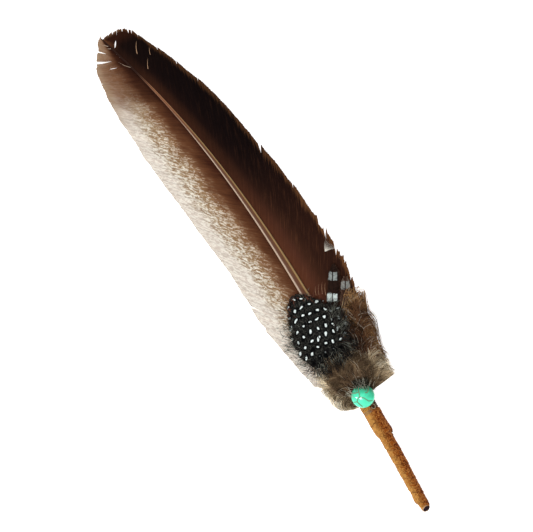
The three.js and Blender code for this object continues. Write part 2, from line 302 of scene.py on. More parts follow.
def vane(
    shape, roots, edges, places, *, steps, bow, sag, overlap, height, reach, blunt, taper=0.1,
    slits=(), columns=None, flat=None,
):
    """One side of a feather, added to a shape barb by barb. Overlap is a barb's width as a share of
    the space to the next. Over the last part of each barb, taper, its width falls to blunt."""
    paths = barb_paths(roots, edges, steps, bow, sag, reach)
    neighbour = np.gradient(paths, axis=0)
    tangents, _ = along(paths)
    spacing = np.linalg.norm(np.cross(tangents, neighbour), axis=-1)
    t = np.linspace(0, 1, steps)[None, :]
    narrowing = 1 - (1 - blunt) * smooth((t - 1 + taper) / taper)
    half = np.clip(spacing, 0.1, 0.9) / 2 * overlap * narrowing
    paths = open_slits(paths, places, slits, steps)
    rings, lengths = barb_rings(paths, half, height, height * 0.8)
    chance = random.random(len(roots))
    strand = per_point(rings, places[:, None, None], lengths[..., None], chance[:, None, None])
    spread = per_point(rings, (t * reach[:, None])[..., None], np.array([-1.0, 0.0, 1.0, 0.0]), 0.0)
    place = rings if flat is None else flat(rings)
    shape.add(rings, strand, spread, place, columns=columns)


def hair_rings(paths, radius):
    """Three-sided hairs along each path, with a radius at each point."""
    tangents, lengths = along(paths)
    first = unit(np.cross(np.array([0.13, 0.27, 1.0]), tangents))
    second = np.cross(tangents, first)
    ring = [first * math.cos(a) + second * math.sin(a) for a in around(3) + np.pi / 2]
    return np.stack([paths + r * radius[..., None] for r in ring], 2), lengths


def hairs(shape, paths, radius, kind=0.0, shade=None, share=None):
    """Adds hairs that taper to their tips. Shade is a value per hair, share its span of root to tip."""
    n, m, _ = paths.shape
    t = np.linspace(0, 1, m)[None, :]
    thick = radius[:, None] * (1 - 0.85 * t**1.5)
    rings, lengths = hair_rings(paths, thick)
    shade = random.random(n) if shade is None else shade
    chance = random.random(n)
    root_to_tip = t if share is None else share[0][:, None] * (1 - t) + share[1][:, None] * t
    strand = per_point(rings, shade[:, None, None], lengths[..., None], chance[:, None, None])
    shape.add(rings, strand, per_point(rings, root_to_tip[..., None], t[..., None], kind))


def stray_barbs(shape, rows, kind=1.0, lift=0.25):
    """Single barbs that have come loose: from x, y to x, y, with a half width and a height."""
    for x0, y0, x1, y1, half, z in rows:
        t = np.linspace(0, 1, 12)[None, :, None]
        start = np.array([x0, y0, z + lift])
        stop = np.array([x1, y1, z + lift])
        bend = np.array([y0 - y1, x1 - x0, 0]) * 0.05
        paths = start * (1 - t) + stop * t + bend * np.sin(np.pi * t)
        hairs(shape, paths, np.array([half]), kind=kind)


def tube(shape, path, radius, sides, kind=1.0):
    """A round tube along one path, closed at both ends."""
    paths = np.asarray(path, float)[None]
    tangents, lengths = along(paths)
    across = unit(np.cross(np.array([0.02, 0.01, 1.0]), tangents))
    up = np.cross(tangents, across)
    radius = np.broadcast_to(radius, paths.shape[1])[None, :, None, None]
    turns = around(sides)
    spokes = across[:, :, None] * np.cos(turns)[:, None] + up[:, :, None] * np.sin(turns)[:, None]
    rings = paths[:, :, None] + spokes * radius
    root_to_tip = np.linspace(0, 1, paths.shape[1])[None, :, None]
    strand = per_point(rings, 0.0, lengths[..., None], 0.0)
    shape.add(rings, strand, per_point(rings, root_to_tip, np.cos(turns), kind), columns=1)


def turned(shape, profile, sides, closed=False):
    """A solid turned about the refill's axis, from a profile of (x, radius)."""
    x, radius = np.array(profile, float).T[..., None]
    turns = around(sides)
    rings = np.stack([x + 0 * turns, radius * np.cos(turns), AXIS_Z + radius * np.sin(turns)], -1)[None]
    shape.add(rings, closed=closed, columns=1)


def upright(profile, sides, uneven=1.0):
    """Rings turned about an upright axis through the stone, from a profile of (radius, z)."""
    radius, z = np.array(profile, float).T[..., None]
    turns = around(sides)
    x = STONE[0] + radius * np.cos(turns) * uneven
    y = STONE[1] + radius * np.sin(turns) * uneven
    return np.stack([x, y, z + 0 * turns], -1)[None]


# ---------------------------------------------------------------- materials

SPOT_PITCH = 4.2  # the spots of the guineafowl plumes: distance along a row
ROW_PITCH = 4.55  # and from row to row


def srgb(*values):
    """A colour given as 0-255 screen values."""
    scaled = [v / 255 for v in values]
    return tuple(c / 12.92 if c <= 0.04045 else ((c + 0.055) / 1.055) ** 2.4 for c in scaled) + (1.0,)


class Value:
    """A value in a material. Python's own operators on it add the nodes that work it out."""

    def __init__(self, surface, socket):
        self.surface = surface
        self.socket = socket

    def __add__(self, other):
        return self.surface.math("ADD", self, other)

    def __sub__(self, other):
        return self.surface.math("SUBTRACT", self, other)

    def __rsub__(self, other):
        return self.surface.math("SUBTRACT", other, self)

    def __mul__(self, other):
        return self.surface.math("MULTIPLY", self, other)

    def __truediv__(self, other):
        return self.surface.math("DIVIDE", self, other)

    def __abs__(self):
        return self.surface.math("ABSOLUTE", self)

    def swing(self, amount):
        """Noise, whose middle is 0.5, made to swing to both sides of zero."""
        return (self - 0.5) * amount

    def span(self, low, high, to_low=0.0, to_high=1.0):
        """An S-curve step as this value goes from low to high."""
        made = self.surface.node("MapRange", interpolation_type="SMOOTHSTEP")
        for socket, number in zip(made.inputs, (self, low, high, to_low, to_high)):
            self.surface.put(socket, number)
        return Value(self.surface, made.outputs[0])


class Surface:
    """A material with short calls for the nodes that this scene uses."""

    def __init__(self, name, roughness=0.7, specular=0.3, **sockets):
        self.material = bpy.data.materials.new(name)
        self.material.use_nodes = True
        self.tree = self.material.node_tree
        self.shader = self.tree.nodes["Principled BSDF"]
        self.set("Roughness", roughness)
        self.set("Specular IOR Level", specular)
        for socket, value in sockets.items():
            self.set(socket.replace("_", " "), value)

    def set(self, socket, value):
        self.put(self.shader.inputs[socket], value)

    def put(self, socket, value):
        if isinstance(value, Value):
            self.tree.links.new(value.socket, socket)
        else:
            socket.default_value = value

    def node(self, kind, **settings):
        made = self.tree.nodes.new("ShaderNode" + kind)
        for key, value in settings.items():
            setattr(made, key, value)
        return made

    def field(self, name):
        """One of the point attributes that every Shape carries."""
        return Value(self, self.node("Attribute", attribute_name=name).outputs["Vector"])

    def split(self, vector):
        made = self.node("SeparateXYZ")
        self.put(made.inputs[0], vector)
        return [Value(self, socket) for socket in made.outputs]

    def join(self, x, y, z=0.0):
        made = self.node("CombineXYZ")
        for socket, value in zip(made.inputs, (x, y, z)):
            self.put(socket, value)
        return Value(self, made.outputs[0])

    def math(self, operation, *values):
        made = self.node("Math", operation=operation)
        for socket, value in zip(made.inputs, values):
            self.put(socket, value)
        return Value(self, made.outputs[0])

    def noise(self, vector, scale=1.0, detail=2.0, roughness=0.5, distortion=0.0):
        made = self.node("TexNoise")
        settings = {"Scale": scale, "Detail": detail, "Roughness": roughness, "Distortion": distortion}
        for socket, value in {"Vector": vector, **settings}.items():
            self.put(made.inputs[socket], value)
        return Value(self, made.outputs["Fac"])

    def ramp(self, factor, *stops):
        """Colours by place: each stop is (place, red, green, blue)."""
        made = self.node("ValToRGB")
        self.put(made.inputs[0], factor)
        elements = made.color_ramp.elements
        while len(elements) < len(stops):
            elements.new(0.5)
        for element, (place, *colour) in zip(elements, stops):
            element.position = place
            element.color = srgb(*colour)
        return Value(self, made.outputs[0])

    def mix(self, factor, first, second, blend="MIX"):
        made = self.node("Mix", data_type="RGBA", blend_type=blend)
        for name, value in (("Factor_Float", factor), ("A_Color", first), ("B_Color", second)):
            socket = next(s for s in made.inputs if s.identifier == name)
            self.put(socket, value)
        return Value(self, next(s for s in made.outputs if s.identifier == "Result_Color"))

    def paint(self, base, amount, *colour):
        """Lays a plain colour over the base."""
        return self.mix(amount, base, srgb(*colour))

    def shade(self, base, amount):
        """Makes the base darker or lighter."""
        return self.mix(1.0, base, self.join(amount, amount, amount), "MULTIPLY")

    def bump(self, height, distance, strength=1.0):
        made = self.node("Bump")
        made.inputs["Strength"].default_value = strength
        made.inputs["Distance"].default_value = distance
        self.put(made.inputs["Height"], height)
        self.set("Normal", Value(self, made.outputs[0]))


def barb_bump(surface, row, length):
    """The barbules: fine ribs across each barb."""
    ribs = surface.math("SINE", length * 9.0)
    grain = surface.noise(surface.join(row, length), 3.0)
    surface.bump(ribs * 0.25 + grain, 0.00006, 0.6)


def cream_vane_surface():
    """Dark brown at the shaft to cream at the edge, flecked, and brown all over towards the tip."""
    made = Surface("cream_barbs", roughness=0.85, specular=0.04)
    row, length, chance = made.split(made.field("strand"))
    t, _, kind = made.split(made.field("spread"))
    x = made.split(made.field("place"))[0]
    streak = made.noise(made.join(row * 1.2, length * 0.1))
    blotch = made.noise(made.join(row * 0.12, length * 0.12))
    place = t + (streak.swing(0.22) + blotch.swing(0.3)) + x.span(-215.0, -140.0, 0.0, 0.12)
    broad = made.ramp(
        place, (0.0, 58, 28, 18), (0.2, 94, 57, 36), (0.36, 128, 90, 64), (0.52, 180, 156, 126),
        (0.66, 200, 184, 160), (0.82, 228, 218, 206),
    )
    tip = made.ramp(
        place, (0.0, 36, 16, 10), (0.2, 56, 29, 18), (0.36, 88, 54, 36), (0.6, 120, 84, 60),
        (0.8, 138, 105, 82), (1.0, 166, 140, 114),
    )
    tip = made.paint(tip, x.span(-284.0, -300.0, 0.0, 0.6) * t.span(0.25, 0.7), 158, 130, 104)
    base = made.mix((x + blotch * 12.0).span(-240.0, -272.0), broad, tip)
    fleck = made.noise(made.join(row * 0.74, length * 0.38), 1.0, 2.0, 0.55, 0.9)
    broad_part = x.span(-275.0, -238.0, 0.04, 1.0)
    dim = fleck.span(0.52, 0.4) * place.span(0.26, 0.42) * place.span(0.9, 0.62, 0.25, 0.8)
    base = made.paint(base, dim * broad_part, 138, 104, 72)
    bright = fleck.span(0.5, 0.6) * place.span(0.22, 0.42) * broad_part * place.span(0.2, 0.7, 0.6, 0.9)
    cream = made.mix(place.span(0.25, 0.6), srgb(206, 180, 146), srgb(238, 232, 220))
    base = made.mix(bright, base, cream)
    base = made.shade(base, chance.span(0.0, 1.0, 0.9, 1.06))
    made.set("Base Color", made.paint(base, kind.span(0.4, 0.6), 206, 184, 162))
    barb_bump(made, row, length)
    return made.material


def dark_vane_surface():
    """Near black, with a brown lower part, brown streaks and a brown margin."""
    made = Surface("dark_barbs", roughness=0.7, specular=0.02)
    row, length, chance = made.split(made.field("strand"))
    t, _, kind = made.split(made.field("spread"))
    x = made.split(made.field("place"))[0]
    streak = made.noise(made.join(row * 1.1, length * 0.08), 1.0, 3.0)
    place = t + streak.swing(0.25)
    upper = made.ramp(
        place, (0.0, 60, 33, 22), (0.16, 50, 28, 19), (0.32, 26, 14, 12), (0.5, 18, 10, 10),
        (0.85, 16, 9, 9),
    )
    lower = made.ramp(
        place, (0.0, 92, 52, 34), (0.2, 82, 47, 34), (0.36, 62, 36, 25), (0.52, 50, 28, 20),
        (0.85, 46, 25, 18),
    )
    base = made.mix(x.span(-225.0, -143.0), upper, lower)
    base = made.paint(base, streak.span(0.5, 0.8) * x.span(-240.0, -150.0, 0.08, 0.4), 120, 76, 52)
    base = made.paint(base, x.span(-266.0, -288.0, 0.0, 0.6) * x.span(-300.0, -293.0), 21, 12, 10)
    base = made.paint(base, x.span(-293.0, -300.0, 0.0, 0.7), 54, 27, 17)
    rim = (t + streak.swing(0.3)).span(0.88, 1.0) * x.span(-215.0, -140.0, 0.42, 0.85)
    base = made.paint(base, rim, 116, 76, 46)
    base = made.paint(base, x.span(-293.0, -301.0) * 0.75 * t.span(0.4, 0.1), 98, 62, 40)
    base = made.paint(base, x.span(-300.6, -303.0, 0.0, 0.7), 124, 92, 68)
    base = made.shade(base, chance.span(0.0, 1.0, 0.88, 1.06))
    base = made.paint(base, kind.span(0.4, 0.6), 200, 160, 126)
    made.set("Base Color", made.paint(base, kind.span(1.4, 1.6), 214, 208, 196))
    barb_bump(made, row, length)
    return made.material


def shaft_surface():
    """Horn: pale ridges, painted shade in the groove and on the edges, dark at the tip and pale underneath.
    """
    made = Surface("horn_shaft", roughness=0.55, specular=0.07)
    x = made.split(made.field("place"))[0]
    aside, level, _ = made.split(made.field("spread"))
    grain = made.noise(made.join(x * 0.25, aside * 6.0), 1.0, 3.0)
    place = made.math("MULTIPLY_ADD", aside + grain.swing(0.12), 0.5, 0.5)
    # From the -Y edge to the +Y edge: both ends are painted shade; in the groove the grey beside the -Y ridge
    # is a painted reflection, the dark brown painted shade.
    near = made.ramp(
        place, (0.0, 96, 62, 44), (0.05, 186, 158, 132), (0.17, 196, 178, 162), (0.27, 124, 94, 76),
        (0.42, 94, 62, 46), (0.67, 94, 60, 38), (0.8, 150, 120, 78), (0.93, 166, 138, 98), (1.0, 86, 54, 34),
    )
    far = made.ramp(
        place, (0.0, 60, 34, 24), (0.2, 150, 108, 82), (0.5, 108, 66, 44), (0.78, 150, 108, 76),
        (1.0, 54, 30, 22),
    )
    colour = made.mix(x.span(-222.0, -258.0), near, far)
    colour = made.paint(colour, x.span(-264.0, -279.0), 40, 23, 17)
    colour = made.paint(colour, level.span(-0.1, -0.4), 206, 184, 148)
    made.set("Base Color", made.paint(colour, grain.span(0.4, 0.75) * 0.25, 84, 50, 34))
    made.bump(grain + made.noise(made.field("strand"), 0.6), 0.00008, 0.5)
    return made.material


def plume_surface(name, roughness, colours, marks):
    """Small plumes: colour from root to edge, with streaks along the barbs, then marks on top."""
    made = Surface(name, roughness=roughness, specular=0.03)
    row, length, chance = made.split(made.field("strand"))
    t, _, kind = made.split(made.field("spread"))
    streak = made.noise(made.join(row * 1.6, length * 0.3), 1.0, 3.0)
    stops = [(i / (len(colours) - 1), *colour) for i, colour in enumerate(colours)]
    base = made.ramp(t + streak.swing(0.35), *stops)
    base = made.shade(base, chance.span(0.0, 1.0, 0.75, 1.25))
    made.set("Base Color", marks(made, base, kind, streak))
    barb_bump(made, row, length)
    return made.material


def guinea_spots(strength):
    """White spots in staggered rows that follow the rounded tip, each in a black ring, with a fine
    grey net between the rings."""

    def marks(made, base, kind, streak):
        place = made.field("place")
        x, y, _ = made.split(place)
        drift = made.noise(place, 0.3, 1.0).swing(3.0)
        along_rows = (x + y * y * 0.02 + drift) / (ROW_PITCH * 2)
        across_rows = (y - drift) / SPOT_PITCH
        u = along_rows + across_rows
        v = across_rows - along_rows
        cells = made.node("TexVoronoi", voronoi_dimensions="2D")
        cells.inputs["Scale"].default_value = 1.0
        cells.inputs["Randomness"].default_value = 0.16
        made.put(cells.inputs["Vector"], made.join(u, v))
        spot = made.split(Value(made, cells.outputs["Position"]))
        du = u - spot[0]
        dv = v - spot[1]
        dx = (du - dv) * ROW_PITCH
        dy = (du + dv) * (SPOT_PITCH / 2)
        tipward = x.span(20.0, 34.0)
        along_part = dx * dx * tipward.span(0.0, 1.0, 1.3, 2.8)
        across_part = dy * dy * tipward.span(0.0, 1.0, 1.7, 1.0)
        distance = made.math("SQRT", along_part + across_part)
        halo = distance.span(2.3, 1.6)
        net = made.noise(place, 2.4, 2.0, 0.7).span(0.5, 0.64) * (1.0 - halo)
        base = made.paint(base, net * 0.5, 104, 104, 96)
        base = made.paint(base, halo, 6, 6, 7)
        white = (distance + streak.swing(0.8)).span(1.02, 0.76) * x.span(8.5, 11.0, 0.0, strength)
        base = made.paint(base, white, 236, 246, 243)
        base = made.paint(base, kind.span(0.4, 0.6), 30, 27, 26)
        base = made.paint(base, kind.span(1.4, 1.6), 112, 114, 104)
        return made.paint(base, kind.span(2.4, 2.6), 104, 66, 52)

    return marks


def bars(*bands):
    """White bars across a plume: each band is (from, to, reach on either side, strength), in mm."""

    def marks(made, base, kind, streak):
        x, y, _ = made.split(made.field("place"))
        for low, high, reach, strength in bands:
            ragged = x + streak.swing(3.4)
            inside = ragged.span(low, low + 0.5) * ragged.span(high, high - 0.5)
            inside = inside * abs(y).span(reach, reach - 0.6) * abs(y).span(0.16, 0.4)
            inside = inside * (streak.span(0.3, 0.6, 0.5, 1.0) * strength)
            base = made.paint(base, inside, 222, 234, 230)
        return base

    return marks


def down_surface():
    """Fluff: darker where it grows, pale at its tips, each strand a little different."""
    made = Surface("down", roughness=0.9, specular=0.03)
    tone, _, chance = made.split(made.field("strand"))
    reach, t, kind = made.split(made.field("spread"))
    patch = made.noise(made.field("place"), 0.16, 2.0)
    place = reach * 0.82 + t * 0.14 + patch.swing(0.5) + chance.swing(0.3)
    base = made.ramp(
        place, (0.0, 54, 39, 27), (0.34, 80, 63, 47), (0.55, 102, 85, 64), (0.72, 130, 113, 89),
        (0.86, 164, 148, 122), (1.0, 214, 204, 182),
    )
    base = made.shade(base, tone.span(0.0, 1.0, 0.5, 2.0))
    base = made.paint(base, chance.span(0.965, 0.975) * 0.6, 206, 194, 172)
    base = made.paint(base, kind.span(0.4, 0.6), 44, 42, 34)
    made.set("Base Color", made.paint(base, kind.span(1.4, 1.6), 190, 186, 168))
    made.bump(made.noise(made.field("place"), 5.0), 0.00005, 0.5)
    return made.material


def brown_surface():
    """Golden brown, with a few nearly white hairs."""
    made = Surface("brown_barbs", roughness=0.8, specular=0.04)
    tone, _, chance = made.split(made.field("strand"))
    reach, t, _ = made.split(made.field("spread"))
    patch = made.noise(made.field("place"), 0.22, 2.0)
    base = made.ramp(
        reach * 0.7 + t * 0.3 + patch.swing(0.5), (0.0, 40, 24, 17), (0.4, 62, 41, 29), (0.65, 92, 64, 43),
        (0.86, 136, 104, 68), (1.0, 190, 160, 120),
    )
    base = made.shade(base, tone.span(0.0, 1.0, 0.2, 1.8))
    pale = (chance + patch * 0.12).span(0.99, 1.02)
    made.set("Base Color", made.paint(base, pale * 0.7, 206, 194, 176))
    made.bump(made.noise(made.field("place"), 5.0), 0.00005, 0.5)
    return made.material


def suede_surface(name, light, dark, deep):
    """Napped suede: mottled, darker on the side turned from the light, with paler rubbed nap."""
    made = Surface(name, roughness=0.95, specular=0.04, Sheen_Weight=0.04)
    place = made.field("place")
    y = made.split(place)[1]
    seams_wear_and_shade = made.split(made.field("spread"))[1]
    chance = made.split(made.field("strand"))[2]
    squiggle = made.noise(place, 0.5, 2.0, 0.5, 1.6)
    fine = made.noise(place, 2.6, 3.0, 0.7)
    shaded = y.span(-3.0, 2.0, 0.4, 1.0)
    base = made.mix((y + squiggle.swing(8.0)).span(-2.2, 1.8), srgb(*light), srgb(*dark))
    base = made.paint(base, squiggle.span(0.5, 0.42) * shaded, *deep)
    base = made.paint(base, abs(squiggle - 0.54).span(0.03, 0.008) * 0.55, 214, 158, 88)
    base = made.paint(base, abs(squiggle - 0.6).span(0.025, 0.006) * shaded, *deep)
    # Darker at the seams, painted shade inside the hollow, paler where the nap is rubbed, dark olive on the
    # +Y side of the mouth's lip.
    base = made.paint(base, seams_wear_and_shade.span(0.3, 1.0) * 0.7, *deep)
    base = made.paint(base, seams_wear_and_shade.span(-0.3, -1.0), 186, 150, 118)
    base = made.paint(base, seams_wear_and_shade.span(1.4, 2.0), 52, 48, 36)
    made.set("Base Color", made.shade(base, fine.span(0.3, 0.7, 0.76, 1.04) + chance * 0.12))
    made.bump(squiggle * 2.5 + fine, 0.0003, 0.8)
    return made.material


def stone_surface():
    """Polished turquoise, dyed green, with fine brown veins."""
    made = Surface("turquoise", roughness=0.16, specular=0.4, Coat_Weight=0.1, Coat_Roughness=0.08)
    place = made.field("place")
    from_vein = made.split(made.field("strand"))[0]
    darkness = made.split(made.field("spread"))[0]
    cloud = made.noise(place, 0.22, 3.0, 0.5, 0.4)
    base = made.ramp(
        darkness + cloud.swing(0.7), (0.0, 92, 238, 192), (0.42, 74, 220, 174), (0.6, 56, 186, 142),
        (0.8, 38, 138, 102), (1.0, 24, 88, 62),
    )
    ragged = from_vein + made.noise(place, 3.0).swing(0.14)
    vein = ragged.span(0.26, 0.1)
    base = made.paint(base, ragged.span(0.6, 0.2) * 0.35, 96, 150, 110)
    made.set("Base Color", made.paint(base, vein * 0.9, 96, 84, 52))
    made.set("Roughness", vein.span(0.0, 1.0, 0.1, 0.45))
    made.bump(cloud * 0.4 - vein, 0.00005, 0.5)
    return made.material


def grained_surface(name, light, dark, roughness, stretch=(0.3, 3.0, 3.0), metallic=0.0, specular=0.5):
    """Wood and metal, whose grain is stretched along the pen."""
    made = Surface(name, roughness=roughness, specular=specular, Metallic=metallic)
    grain = grain_of(made, made.field("place"), light, dark, stretch)
    made.set("Roughness", grain.span(0.2, 0.8, roughness * 0.75, min(1.0, roughness * 1.3)))
    return made.material


def kept_node_surface(name, light, dark, roughness, stretch):
    """The same for CAD nodes that stay: the grain reads the object's own coordinates, in metres."""
    made = Surface(name, roughness=roughness, specular=0.5)
    grain_of(made, Value(made, made.node("TexCoord").outputs["Object"]), light, dark, stretch)
    return made.material


def grain_of(made, place, light, dark, stretch):
    scaled = [axis * factor for axis, factor in zip(made.split(place), stretch)]
    grain = made.noise(made.join(*scaled), 1.0, 3.0)
    made.set("Base Color", made.ramp(grain, (0.3, *dark), (0.7, *light)))
    made.bump(grain, 0.00003, 0.5)
    return grain


# ---------------------------------------------------------------- the big feather

# Barbs of the two vanes, by the place of their roots: root x, then the end of the barb x, y, z.
CREAM_BARBS = [
    (-74, -86, -19.4, 3.4),
    (-84, -102, -23.2, 2.6),
    (-94, -117, -25.8, 1.8),
    (-106, -132, -27.3, 1.2),
    (-122, -149.5, -28.0, 0.7),
    (-146, -175.8, -30.4, 0.3),
    (-170, -199.9, -33.5, 0.3),
    (-195, -222.9, -36.4, 0.4),
    (-220, -243.8, -38.1, 0.9),
    (-245, -264.2, -39.2, 2.2),
    (-265, -277.5, -38.9, 3.6),
    (-275, -284.2, -38.5, 4.5),
    (-283.5, -289.6, -37.4, 5.2),
    (-287.5, -293.0, -35.3, 5.9),
    (-291, -297.4, -32.2, 7.0),
    (-295.5, -301.6, -29.8, 8.2),
    (-299.5, -303.5, -28.0, 9.2),
    (-302, -304.2, -26.8, 9.6),
]
DARK_BARBS = [
    (-76, -98, 22.5, 3.4),
    (-86, -113, 24.6, 3.4),
    (-98, -130, 26.4, 3.3),
    (-108, -146, 27.2, 3.2),
    (-120, -159.5, 25.8, 3.1),
    (-135, -175.5, 24.4, 3.0),
    (-150, -192, 22.4, 2.9),
    (-165, -207, 19.6, 2.7),
    (-180, -221.5, 16.6, 2.7),
    (-200, -240, 13.2, 3.1),
    (-220, -257, 7.9, 3.9),
    (-235, -269.5, 3.1, 5.0),
    (-250, -280, -1.4, 6.2),
    (-264, -287.5, -5.4, 7.2),
    (-275, -295.2, -9.2, 8.3),
    (-285, -300.4, -12.4, 9.2),
    (-292, -302.4, -16.6, 9.8),
    (-298, -302.8, -21.0, 10.0),
    (-301.6, -302.3, -25.0, 9.9),
]

# Slits where the barbs have parted, as open_slits takes them.
CREAM_SLITS = [
    (-283.6, 0.34, 0.62, 0.5, 4),
    (-287.6, 0.3, 1.0, 1.5, 4),
    (-291.0, 0.4, 1.0, 0.9, 3),
    (-272.0, 0.9, 1.0, 0.3, 4),
    (-299.3, 0.7, 1.0, 0.4, 2),
    (-255.0, 0.94, 1.0, 0.2, 4),
    (-112.0, 0.8, 1.0, 0.6, 5),
]
DARK_SLITS = [
    (-294.0, 0.08, 0.5, 0.9, 3),
    (-299.6, 0.78, 1.0, 0.9, 1.6),
    (-296.8, 0.76, 1.0, 0.9, 1.6),
    (-293.6, 0.55, 1.0, 0.35, 1.4),
    (-289.4, 0.86, 1.0, 0.8, 2),
    (-284.4, 0.86, 1.0, 1.0, 2),
    (-281.5, 0.88, 1.0, 0.7, 3),
    (-275.0, 0.95, 1.0, 0.4, 3),
    (-258.0, 0.93, 1.0, 0.5, 4),
    (-240.0, 0.93, 1.0, 0.5, 4),
    (-223.0, 0.94, 1.0, 0.4, 4),
    (-171.0, 0.88, 1.0, 1.3, 5),
    (-144.0, 0.93, 1.0, 0.5, 4),
    (-116.5, 0.86, 1.0, 1.4, 5),
    (-108.0, 0.9, 1.0, 0.8, 5),
]

# Loose barbs that lie on the vanes: from x, y to x, y, half width, height there.
CREAM_LOOSE = [
    (-297.4, -25.8, -299.4, -27.6, 0.2, 9.2),
    (-295.6, -25.2, -296.8, -27.0, 0.16, 9.0),
    (-282.0, -21.0, -287.6, -25.2, 0.12, 8.2),
]
DARK_LOOSE = [
    (-286.4, -14.4, -292.6, -11.4, 0.22, 8.3),
    (-282.8, -8.5, -286.4, -7.2, 0.18, 7.3),
    (-276.8, -13.3, -281.9, -10.5, 0.18, 6.9),
    (-128.0, 5.0, -132.4, 7.2, 0.12, 3.5),
    (-127.6, 6.6, -132.6, 9.2, 0.12, 3.5),
    (-127.0, 8.4, -132.8, 11.4, 0.12, 3.5),
    (-125.6, 9.6, -131.6, 12.6, 0.12, 3.5),
    (-124.6, 10.8, -130.4, 14.0, 0.1, 3.5),
    (-123.4, 12.0, -128.4, 15.4, 0.1, 3.5),
]

# A small pale tuft that curls over the margin of the dark vane.
PALE_TUFT = [(-146.0, 20.6, -151.4 + 0.76 * i, 24.0 + 0.36 * i, 0.15, 4.0 + 0.05 * i) for i in range(10)]

VANE_BARBS = 470


def big_vane(name, side, rows, slits, bow, sag, material, slot, loose, tuft=()):
    """One vane of the big feather, on side -1 or 1 of its shaft."""
    places = np.linspace(rows[0][0], rows[-1][0], VANE_BARBS)
    fuller = 0.022 * smooth((places + 275) / 20) if side < 0 else 0.0
    edges = through(rows, places)
    width = shaft_width(places)
    roots = np.stack([places, shaft_y(places) + side * width * 0.42, shaft_z(places) - 0.05 * width], -1)
    ragged = wander(places, 2.2) * 0.006 + wander(places, 9.0) * 0.012
    reach = 1.012 + fuller + ragged + random.normal(0, 0.003, VANE_BARBS)
    near_root = smooth((places + 135) / 40)
    reach = reach + near_root * wander(places, 3.0) * 0.03
    near_tip = smooth((-280 - places) / 6)
    reach = reach + near_tip * wander(places, 1.3) * 0.035
    if side > 0:
        reach = reach + smooth((places + 128) / 8) * wander(places, 1.0) * 0.05
    hollow = sag * np.sin(np.pi * smooth(np.linspace(0, 1, VANE_BARBS)))[:, None]
    shape = Shape()
    vane(
        shape, roots, edges, places, steps=34, bow=bow, sag=hollow, overlap=1.35, height=0.07, reach=reach,
        blunt=0.6, taper=0.03, slits=slits, columns=VANE_BARBS // 2 + 1,
    )
    stray_barbs(shape, loose)
    stray_barbs(shape, tuft, kind=2, lift=1.7)
    return shape.finish(name, material, name, slot)


big_vane(
    "vane_cream", -1, CREAM_BARBS, CREAM_SLITS, 0.05, 0.1, cream_vane_surface(), "cream_barbs", CREAM_LOOSE,
)
big_vane(
    "vane_dark", 1, DARK_BARBS, DARK_SLITS, -0.05, 1.7, dark_vane_surface(), "dark_barbs", DARK_LOOSE,
    PALE_TUFT,
)


def feather_shaft():
    """The round hollow quill, which turns into the grooved shaft above the binding."""
    stations = np.concatenate([
        np.linspace(SHAFT_TIP, SHAFT_BEND, 300, endpoint=False),
        np.linspace(SHAFT_BEND, PLUME_BEND, 50, endpoint=False),
        np.linspace(PLUME_BEND, QUILL_MOUTH, 40),
    ])
    sides = 48
    turns = around(sides)
    change = smooth((PLUME_BEND - stations) / (PLUME_BEND - SHAFT_BEND))[:, None]
    half_width = CALAMUS_RADIUS * (1 - change) + shaft_width(stations)[:, None] / 2 * change
    half_height = CALAMUS_RADIUS * (1 - change) + shaft_width(stations)[:, None] * 0.36 * change
    across = np.cos(turns)[None, :]
    level = np.sin(turns)[None, :]
    squared = np.sign(level) * np.abs(level) ** 0.8
    groove = np.where(level > 0, change * half_width * 0.34 * np.exp(-((across - 0.04) / 0.42) ** 4), 0)
    bead = np.where(level > 0, change * half_width * 0.1 * np.exp(-((np.abs(across) - 0.72) / 0.16) ** 2), 0)
    x = np.repeat(stations[:, None], sides, 1)
    y = shaft_y(stations)[:, None] + half_width * across
    z = shaft_z(stations)[:, None] + half_height * squared - groove + bead
    outside = np.stack([x, y, z], -1)
    inner_x = np.array([QUILL_MOUTH, QUILL_MOUTH, BORE_END, BORE_END])[:, None]
    inner_r = np.array([CALAMUS_RADIUS - 0.05, BORE_RADIUS, BORE_RADIUS, 0.02])[:, None]
    inside = np.stack([inner_x + 0 * across, inner_r * across, AXIS_Z + inner_r * level], -1)
    end = SHAFT_TIP - 0.6
    point = np.array([[end, shaft_y(end), float(shaft_z(end))]])
    tip = np.repeat(point[:, None], sides, 1) + (outside[:1] - outside[:1].mean(1, keepdims=True)) * 0.2
    rings = np.concatenate([tip, outside, inside])[None]
    shape = Shape()
    shape.add(rings, rings, per_point(rings, across, level, 0.0), columns=1)
    return shape.finish("feather_shaft", shaft_surface(), "feather_shaft", "shaft")


feather_shaft()


# ---------------------------------------------------------------- the small plumes


